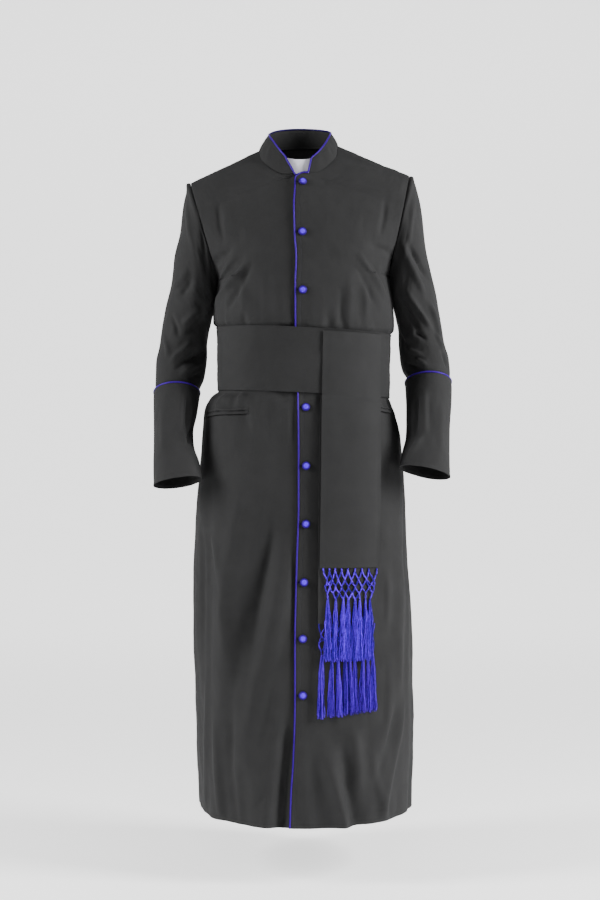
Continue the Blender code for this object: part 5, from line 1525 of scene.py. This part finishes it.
def make_fall(name, table, rows, cols, seed, lift):
    base, n, out, share, drops = strip_grid(table, rows, cols)
    width = (share - 0.5) * 0.12
    d = drops[:, None] + 0 * share
    total = 0.0008 * field(width, d, 0.040, 0.110, seed) + 0.0004 * field(width, d, 0.018, 0.050, seed + 1)
    # hems at the two long edges, pressed a little thinner inside them
    from_edge = np.minimum(share, 1 - share) * 0.12 + 0 * d
    total += 0.0003 * np.exp(-((from_edge / 0.0022) ** 2)) - 0.0004 * np.exp(-(((from_edge - 0.0065) / 0.0012) ** 2))
    low = drops[-1] - d
    total += -0.0004 * np.exp(-(((low - 0.009) / 0.0014) ** 2))
    total += lift * np.sin(np.clip((d - drops[0]) / (drops[-1] - drops[0]), 0, 1) * math.pi)
    total = np.minimum(total, 0.0010)
    outer = base + n * (out + total)[..., None]
    inner = base + n * (out - WALL * 0.9 + np.minimum(total, 0))[..., None]
    uv = np.stack([width + 0 * d, d], axis=-1)
    return shell(name, outer, inner, FALL, uv=uv), outer, n


# ------------------------------------------------------------------ fringes
def thread_tube(path, radius, sides=5):
    return tube_parts(path, radius, sides)


def knot(at, size):
    """Small rounded knot: a squashed sphere with a wound look."""
    verts, faces = [], []
    rings, sides = 6, 8
    for i in range(rings + 1):
        a = math.pi * i / rings
        for k in range(sides):
            b = 2 * math.pi * k / sides + i * 0.35
            r = math.sin(a) * (1 + 0.10 * math.cos(3 * b))
            verts.append((at[0] + size * r * math.cos(b), at[1] + size * 0.75 * r * math.sin(b),
                          at[2] + size * 1.15 * math.cos(a)))
    for i in range(rings):
        for k in range(sides):
            m = (k + 1) % sides
            faces.append((i * sides + k, i * sides + m, (i + 1) * sides + m, (i + 1) * sides + k))
    return np.array(verts), faces


TOP_NET_NAMES = ("u", "v")
TOP_HEADS = (322.8, 328.5, 334.2, 340.2, 346.2, 353.3, 359.8, 366.4, 374.1)
TOP_ROWS = ((326.0, 331.2, 337.0, 343.2, 349.7, 356.5, 363.6, 370.8),
            (324.6, 328.9, 334.4, 340.4, 346.8, 353.2, 360.0, 366.8, 371.2),
            (326.6, 331.8, 337.6, 343.8, 350.4, 357.0, 363.4, 369.4))
# each top: where it shows above and below, and the net's lowest knots that it hangs from
TOP_TASSELS = ((327.0, 327.4, (0,)), (334.8, 333.8, (1, 2)), (342.0, 340.6, (2, 3)), (346.9, 346.6, (3, 4)),
               (353.3, 352.6, (4, 5)), (357.8, 358.2, (5,)), (363.0, 363.2, (6,)), (367.3, 367.6, (7,)))
UNDER_HEADS = (318.4, 325.5, 332.6, 339.8, 347.0, 354.2, 361.4, 367.0, 372.6)
UNDER_ROWS = ((320.6, 328.6, 335.8, 343.0, 350.2, 357.4, 364.2, 370.2),
              (319.0, 325.2, 332.4, 339.6, 346.8, 354.0, 361.0, 366.8, 371.8),
              (321.0, 328.8, 336.0, 343.0, 350.0, 357.2, 364.0, 370.6))
UNDER_TASSELS = ((321.4, 320.6, (0,)), (331.2, 329.6, (1, 2)), (337.2, 338.0, (2,)), (344.6, 343.6, (3,)),
                 (348.6, 349.4, (3, 4)), (353.6, 354.4, (4, 5)), (361.6, 361.0, (5, 6)), (366.4, 366.0, (6,)),
                 (371.2, 371.6, (7,)))


def net_point(u, v, out):
    p, _ = on_front(u, v, out)
    return np.array(p, float)


def link_pairs(upper, lower):
    """Each lower crossing hangs from the two upper points on either side of it."""
    pairs = []
    for j, x in enumerate(lower):
        near = sorted(range(len(upper)), key=lambda i: abs(upper[i] - x))[:2]
        pairs += [(i, j) for i in near]
    return pairs


def wave_thread(line, across_, amount, rng, radius, sides=4):
    """A loose thread along a line, with its own slow waves and a thinner end."""
    t = np.linspace(0, 1, len(line))
    sway = np.zeros(len(line))
    deep = np.zeros(len(line))
    for k in (1, 2, 4, 6):
        sway += rng.uniform(-1, 1) / k**0.45 * np.sin(t * math.pi * (1.3 * k + rng.uniform(0, 0.8))
                                                    + rng.uniform(0, 6.28))
        deep += rng.uniform(-1, 1) / k * np.sin(t * math.pi * 1.6 * k + rng.uniform(0, 6.28))
    grow = ease(t / 0.35)
    line = line + across_ * (sway * amount * grow)[:, None]
    line[:, 1] -= deep * 0.0004 * grow
    return tube_parts(line, radius * (1 - 0.35 * t**3), sides)


def make_fringe(name, heads, rows, tassels, v_heads, v_rows, v_top, v_end, out, wide, material_of, seed,
                count, loose):
    """A net of doubled cords tied in knots, with a loose tassel of threads under it."""
    rng = np.random.RandomState(seed)
    parts = []
    levels = [(heads, v_heads)] + list(zip(rows, v_rows))
    points = [[net_point(u + rng.uniform(-0.25, 0.25), v + (rng.uniform(-0.6, 0.6) if k else 0),
                         out + (0.0009 if k % 2 else -0.0006)) for u in us]
              for k, (us, v) in enumerate(levels)]

    def cord_between(a, b, bow, twist):
        t = np.linspace(0, 1, 10)[:, None]
        line = a * (1 - t) + b * t
        line[:, 0] += np.sin(t[:, 0] * math.pi) * bow
        line[:, 1] -= np.sin(t[:, 0] * math.pi) * 0.0007
        for s in (-1, 1):
            turn = t[:, 0] * twist + (0 if s > 0 else math.pi)
            off = np.stack([np.cos(turn) * 0.00080, np.sin(turn) * 0.00060, 0 * turn], axis=-1)
            parts.append(tube_parts(line + off, 0.00096, 6))

    for k in range(len(levels) - 1):
        upper, lower = levels[k][0], levels[k + 1][0]
        for i, j in link_pairs(upper, lower):
            a, b = points[k][i], points[k + 1][j]
            cord_between(a, b, 0.0013 * np.sign(a[0] - b[0]) + rng.uniform(-0.0007, 0.0007),
                         rng.uniform(7, 11))
    for row in points[1:]:
        for p in row:
            parts.append(knot(p, rng.uniform(0.00150, 0.00185)))
    for p in points[0]:
        parts.append(knot(p + np.array([0, 0, 0.0004]), 0.0014))
        cord_between(p + np.array([0, 0.0012, 0.0022]), p, 0.0002, 3)
    for k, (u_top, u_low, hang) in enumerate(tassels):
        start = net_point(u_top, v_top + rng.uniform(-0.8, 0.8), out)
        for j in hang:
            cord_between(points[-1][j], start, 0.0, 5)
        parts.append(knot(start + np.array([0, 0, -0.0006]), 0.0021))
        end_v = v_end[0] + (v_end[1] - v_end[0]) * k / (len(tassels) - 1)
        spine_v = np.linspace(v_top, end_v, 7)
        spine = np.array([net_point(u_top + (u_low - u_top) * (v - v_top) / (end_v - v_top), v, out)
                          for v in spine_v])
        flow = rng.uniform(-0.0008, 0.0008)
        for m in range(count):
            a, r = rng.uniform(0, 2 * math.pi), math.sqrt(rng.uniform(0, 1))
            reach = 1 + rng.uniform(-0.045, 0.030) - (0.10 if rng.uniform() < 0.08 else 0)
            t = np.linspace(0, min(reach, 1.035), 19 if loose > 0.002 else 15)
            line = np.stack([np.interp(t, np.linspace(0, 1, 7), spine[:, c]) for c in range(3)], axis=-1)
            line[:, 2] = spine[0, 2] + (spine[-1, 2] - spine[0, 2]) * t
            open_ = 0.17 + 0.83 * np.clip(t, 0, 1) ** 0.72
            line[:, 0] += math.cos(a) * r * wide * open_ + flow * np.sin(t * 3.0) * t
            line[:, 1] += math.sin(a) * r * 0.0026 * open_ - 0.0004
            parts.append(wave_thread(line, np.array([1.0, 0, 0]), loose * rng.uniform(0.5, 1.3), rng,
                                     rng.uniform(0.00040, 0.00066)))
    return joined(name, parts, material_of)


# ------------------------------------------------------------------ pockets
POCKET_LINE = ((-1.0, 0.0001), (-0.90, 0.0007), (-0.72, 0.0013), (-0.50, 0.0012), (-0.36, 0.0006),
               (-0.28, -0.0014), (-0.20, -0.0019), (-0.10, -0.0014), (-0.02, 0.0004), (0.08, 0.0018),
               (0.30, 0.0025), (0.55, 0.0024), (0.72, 0.0015), (0.78, -0.0004), (0.86, -0.0008),
               (0.93, -0.0003), (1.0, 0.0001))


def make_pocket(name, x_front, x_side, drop_front, drop_side):
    """An upper jet, a slit and a fuller lower jet, sunk in along its lower seam; shade is painted in the slit and
    along the lower seam.
    """
    u = np.linspace(0, 1, 80)
    side = np.sign(x_front)
    w = float(half(side, drop_front))
    a, b = (math.asin((abs(x) / w) ** (ROUND / 2)) for x in (x_front, x_side))
    x = side * w * np.sin(a + (b - a) * u) ** (2 / ROUND)
    rows = 45
    t = np.linspace(-1, 1, rows)
    drop = ((drop_front + (drop_side - drop_front) * u)[None, :]
            + POCKET_HALF * 1.15 * t[:, None] * (1 + 0.10 * (u - 0.5))[None, :])
    drop = drop + 0.0005 * np.sin(u * 7.0)[None, :] + (0.0085 + 0.0045 * u if side < 0 else -0.0025)
    base, n = front_at(np.repeat(x[None, :], rows, axis=0), drop, 0.0)
    line = np.interp(t, [p[0] for p in POCKET_LINE], [p[1] for p in POCKET_LINE])
    ends = ease(u / 0.025) * ease((1 - u) / 0.025)
    height = 0.0010 + line[:, None] * ends[None, :]
    turn = side * np.arcsin(np.clip(np.abs(base[..., 0]) / half(side, drop), 0, 0.9999) ** (ROUND / 2))
    lift = surface(turn, base)
    lift = lift * 0.35 + 0.65 * (lift[:1] * (1 - (t[:, None] + 1) / 2) + lift[-1:] * (t[:, None] + 1) / 2)
    outer = base + n * (height + lift)[..., None]
    inner = base + n * (lift + np.minimum(height - 0.0006, -0.0012))[..., None]
    obj = shell(name + "_jets", outer, inner, ROBE)
    # painted shade: the slit and the line under the lower jet get the near-black pocket_shade material
    obj.data.materials.append(SHADE)
    cols = len(u)
    for poly in obj.data.polygons[:(rows - 1) * (cols - 1)]:
        i, j = divmod(poly.index, cols - 1)
        middle = (t[i] + t[i + 1]) / 2
        if (-0.30 < middle < -0.02 or 0.74 < middle < 0.93) and 2 <= j < cols - 3:
            poly.material_index = 1
    return obj


# ------------------------------------------------------------------ stitches
def stitches(name, path, ups, length=0.0026, gap=0.0011, radius=0.00022, material_of=None, lift=0.0001):
    """A row of small stitches along a path, joined in one mesh."""
    p = np.asarray(path, float)
    run = np.concatenate([[0], np.cumsum(np.linalg.norm(np.diff(p, axis=0), axis=1))])
    parts = []
    s = 0.001
    while s + length < run[-1]:
        t = np.linspace(s, s + length, 4)
        seg = np.stack([np.interp(t, run, p[:, k]) for k in range(3)], axis=-1)
        up = np.array([np.interp(s, run, ups[:, k]) for k in range(3)])
        up /= max(np.linalg.norm(up), 1e-9)
        seg = seg + up[None, :] * (lift + np.array([-0.00010, 0.00016, 0.00016, -0.00010])[:, None])
        parts.append(tube_parts(seg, radius, 4))
        s += length + gap
    return joined(name, parts, material_of or THREAD)


def along_column(outer, n, pick, start=0):
    """Points of a panel at a steady distance, by a function that picks a place in each row."""
    at, up = [], []
    for i in range(start, len(outer)):
        j = pick(i)
        if j is None:
            continue
        k = int(j)
        f = j - k
        m = min(k + 1, outer.shape[1] - 1)
        at.append(outer[i, k] * (1 - f) + outer[i, m] * f)
        up.append(n[i, k])
    return np.array(at), np.array(up)


# ------------------------------------------------------------------ make it all
front_left, fl_outer, fl_n, fl_part, fl_rows, fl_drops = make_front(1)
front_right, fr_outer, fr_n, fr_part, fr_rows, fr_drops = make_front(-1)
back_left, bl_outer, bl_n = make_back(1)
back_right, br_outer, br_n = make_back(-1)
sleeve_left, sl_outer, sl_n = make_sleeve(1)
sleeve_right, sr_outer, sr_n = make_sleeve(-1)
cuff_left, cl_outer, cl_n = make_cuff(1)
cuff_right, cr_outer, cr_n = make_cuff(-1)
pipe_cuff_left = make_cuff_piping(1, cl_outer)
pipe_cuff_right = make_cuff_piping(-1, cr_outer)
collar, co_outer, co_n = make_collar()
pipe_collar_right, pipe_collar_left = make_collar_piping(co_outer, co_n)
tab = make_tab()
pipe_front = make_front_piping(fl_outer, fl_n, fl_rows)
band, band_outer = make_band()
fall_top, ft_outer, ft_n = make_fall("fall_top_cloth", FALL_TOP, 170, 34, 111, 0.0004)
fall_under, fu_outer, fu_n = make_fall("fall_under_cloth", FALL_UNDER, 140, 34, 121, 0.0002)
fringe_top = make_fringe("fringe_top_net", TOP_HEADS, TOP_ROWS, TOP_TASSELS, 570.3,
                         (579.8, 586.8, 593.6), 600.2, (661.0, 660.0), 0.0128, 0.0080, FRINGE, 7, 46,
                         0.0025)
fringe_under = make_fringe("fringe_under_net", UNDER_HEADS, UNDER_ROWS, UNDER_TASSELS, 624.5,
                           (634.0, 643.0, 651.5), 656.0, (718.0, 710.5), 0.0080, 0.0084, FRINGE_SHADED,
                           8, 44, 0.0011)
pockets = [make_pocket(*row) for row in POCKETS]

# topstitching beside the front edge
def edge_pick(i):
    x = fl_outer[i, :, 0] - float(edge_x(-fl_outer[i, 0, 2]))
    if -fl_outer[i, 0, 2] < 0.068:
        return None
    k = int(np.argmax(x > 0.0095))
    if k == 0:
        return None
    return k - 1 + (0.0095 - x[k - 1]) / (x[k] - x[k - 1])


edge_line, edge_up = along_column(fl_outer, fl_n, edge_pick, start=int(np.argmax(fl_rows <= PIT_ROW)))
stitch_front = stitches("front_edge_stitching", edge_line, edge_up)


def button_mesh(name, node):
    lo, hi = (np.array(q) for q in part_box(node))
    return lo, hi


def make_button(name, drop, index):
    """Covered button: a domed cap with the gathered cloth tucked under its rim, on a short shank."""
    x = float(edge_x(drop)) + BUTTON_INSET
    i = int(np.argmin(np.abs(fl_outer[:, 0, 2] + drop)))
    j = int(np.argmin(np.abs(fl_outer[i, :, 0] - x)))
    at, up = fl_outer[i, j].copy(), fl_n[i, j].copy()
    at[0] = x
    at[2] = -drop
    profile = ((0.00, 1.000), (0.18, 0.995), (0.36, 0.965), (0.54, 0.900), (0.70, 0.800),
               (0.82, 0.690), (0.91, 0.570), (0.97, 0.450), (1.00, 0.340), (0.985, 0.245),
               (0.93, 0.175), (0.80, 0.130), (0.60, 0.110), (0.30, 0.060), (0.28, -0.10),
               (0.00, -0.10))
    sides = 40
    verts, faces = [], []
    right = np.cross((0, 0, 1.0), up)
    right /= np.linalg.norm(right)
    fwd = np.cross(up, right)
    turn = index * 0.9
    for k, (r, h) in enumerate(profile):
        for m in range(sides):
            a = 2 * math.pi * m / sides
            pleat = 1 + (0.012 * math.sin(a * 16 + turn) if 0.9 < r or k > 8 else 0)
            verts.append((BUTTON_R * r * pleat * math.cos(a), BUTTON_R * r * pleat * math.sin(a),
                          h * BUTTON_HIGH))
    for k in range(len(profile) - 1):
        for m in range(sides):
            q = (m + 1) % sides
            faces.append((k * sides + m, (k + 1) * sides + m, (k + 1) * sides + q, k * sides + q))
    mesh = bpy.data.meshes.new(name)
    mesh.from_pydata(verts, [], faces)
    mesh.update()
    mesh.materials.append(BUTTON)
    obj = bpy.data.objects.new(name, mesh)
    bpy.context.scene.collection.objects.link(obj)
    mesh.shade_smooth()
    from mathutils import Matrix
    at = at + up * 0.0009
    obj.matrix_world = Matrix(((right[0], fwd[0], up[0], at[0]), (right[1], fwd[1], up[1], at[1]),
                               (right[2], fwd[2], up[2], at[2]), (0, 0, 0, 1)))
    # worked buttonhole that runs from the button to the edge
    hole = []
    n_side = np.array([-1.0, 0, 0])
    for s in (-1, 1):
        t = np.linspace(0, 1, 26)
        line = at[None, :] + n_side[None, :] * (0.0015 + 0.0115 * t)[:, None]
        line[:, 2] += s * 0.0007
        rows_near = int(np.argmin(np.abs(fl_outer[:, 0, 2] + drop)))
        ys = np.interp(line[:, 0], fl_outer[rows_near, :, 0], fl_outer[rows_near, :, 1])
        line[:, 1] = ys - 0.0003
        hole.append(tube_parts(line, 0.00055, 5))
    holes = joined(name + "_hole", hole, DARK_THREAD)
    return obj, holes


buttons = [make_button("cap_" + n, drop, i) for i, (n, drop) in enumerate(BUTTONS)]

def ride(obj, *nodes_, slot_name="robe_cloth"):
    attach(obj, "root")
    if nodes_:
        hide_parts(*nodes_)


ride(front_left, "front_left")
ride(front_right, "front_right")
ride(back_left, "back_left")
ride(back_right, "back_right")
ride(sleeve_left, "sleeve_left")
ride(sleeve_right, "sleeve_right")
ride(cuff_left, "cuff_left")
ride(cuff_right, "cuff_right")
ride(collar, "collar")
ride(tab, "collar_tab", slot_name="tab_white")
ride(band, "cincture_band", slot_name="band_cloth")
ride(fall_top, "fall_top", slot_name="band_cloth")
ride(fall_under, "fall_under", slot_name="band_cloth")
ride(fringe_top, "fringe_top", slot_name="fringe_blue")
ride(fringe_under, "fringe_under", slot_name="fringe_blue")
ride(pipe_front, "piping_front", slot_name="piping_blue")
ride(pipe_collar_right, "piping_collar_right", slot_name="piping_blue")
ride(pipe_collar_left, "piping_collar_left", slot_name="piping_blue")
ride(pipe_cuff_right, "piping_cuff_right", slot_name="piping_blue")
ride(pipe_cuff_left, "piping_cuff_left", slot_name="piping_blue")
ride(pockets[0], "pocket_right")
ride(pockets[1], "pocket_left")
ride(stitch_front)
for (cap, holes), (node, _) in zip(buttons, BUTTONS):
    ride(cap, node, slot_name="button_blue")
    ride(holes)


# ------------------------------------------------------------------ floor, light, camera
def make_stage():
    """A pale floor that sweeps up behind into a plain backdrop."""
    floor_z = -1.568
    profile = [(y, floor_z) for y in (-1.6, -0.6, 0.2, 1.2, 2.4, 4.2, 6.4)]
    for k in range(1, 17):
        a = math.pi / 2 * k / 16
        profile.append((6.4 + 4.2 * math.sin(a), floor_z + 4.2 * (1 - math.cos(a))))
    profile += [(10.6, 4.4), (10.6, 6.2)]
    xs = np.linspace(-5.8, 5.8, 17)
    verts = [(x, y, z) for y, z in profile for x in xs]
    faces = []
    for i in range(len(profile) - 1):
        for j in range(len(xs) - 1):
            a = i * len(xs) + j
            faces.append((a, a + 1, a + len(xs) + 1, a + len(xs)))
    mesh = bpy.data.meshes.new("studio_sweep")
    mesh.from_pydata(verts, [], faces)
    mesh.update()
    mesh.shade_smooth()
    m, nt, shader = nodes_of("studio_paper")
    noise = add(nt, "ShaderNodeTexNoise", Scale=3.0, Detail=2.0)
    link(nt, nt.nodes.new("ShaderNodeTexCoord").outputs["Object"], noise.inputs["Vector"])
    link(nt, ramp(nt, noise.outputs[0], ((0.3, (0.80, 0.80, 0.80)), (0.7, (0.81, 0.81, 0.81)))),
         shader.inputs["Base Color"])
    shader.inputs["Roughness"].default_value = 0.95
    shader.inputs["Specular IOR Level"].default_value = 0.1
    shader.inputs["Emission Color"].default_value = (1, 1, 1, 1)
    split = nt.nodes.new("ShaderNodeSeparateXYZ")
    link(nt, nt.nodes.new("ShaderNodeTexCoord").outputs["Object"], split.inputs[0])
    glow = nt.nodes.new("ShaderNodeMapRange")
    glow.interpolation_type = "SMOOTHSTEP"
    for k, value in enumerate((0.4, 5.0, PAPER_GLOW, BACK_GLOW), start=1):
        glow.inputs[k].default_value = value
    link(nt, split.outputs[1], glow.inputs[0])
    link(nt, glow.outputs[0], shader.inputs["Emission Strength"])
    mesh.materials.append(m)
    obj = bpy.data.objects.new("studio_sweep", mesh)
    bpy.context.scene.collection.objects.link(obj)


def area_light(name, at, aim, size, power, colour=(1, 1, 1)):
    data = bpy.data.lights.new(name, "AREA")
    data.shape = "RECTANGLE"
    data.size, data.size_y = size
    data.energy = power
    data.color = colour
    obj = bpy.data.objects.new(name, data)
    obj.location = at
    obj.rotation_euler = (Vector(aim) - Vector(at)).to_track_quat("-Z", "Y").to_euler()
    bpy.context.scene.collection.objects.link(obj)


PAPER_GLOW = 0.92
BACK_GLOW = 1.70
make_stage()
area_light("side_right", (3.1, -1.12, 0.55), (0, 0, -0.60), (1.1, 2.0), 304)
area_light("side_left", (-3.1, -0.98, 0.55), (0, 0, -0.60), (1.0, 2.0), 216)
area_light("front", (-0.2, -4.2, 1.2), (0, 0, -0.60), (1.4, 1.2), 32)

world = bpy.data.worlds.new("studio")
world.use_nodes = True
background = next(n for n in world.node_tree.nodes if n.type == "BACKGROUND")
background.inputs[0].default_value = (0.9, 0.9, 0.92, 1.0)
background.inputs[1].default_value = 0.09
bpy.context.scene.world = world

camera_data = bpy.data.cameras.new("camera")
camera_data.sensor_width = 36
camera_data.sensor_fit = "AUTO"
camera_data.lens = LENS
camera = bpy.data.objects.new("camera", camera_data)
camera.location = CAMERA_AT
camera.rotation_euler = (math.radians(90), 0, 0)
bpy.context.scene.collection.objects.link(camera)
bpy.context.scene.camera = camera
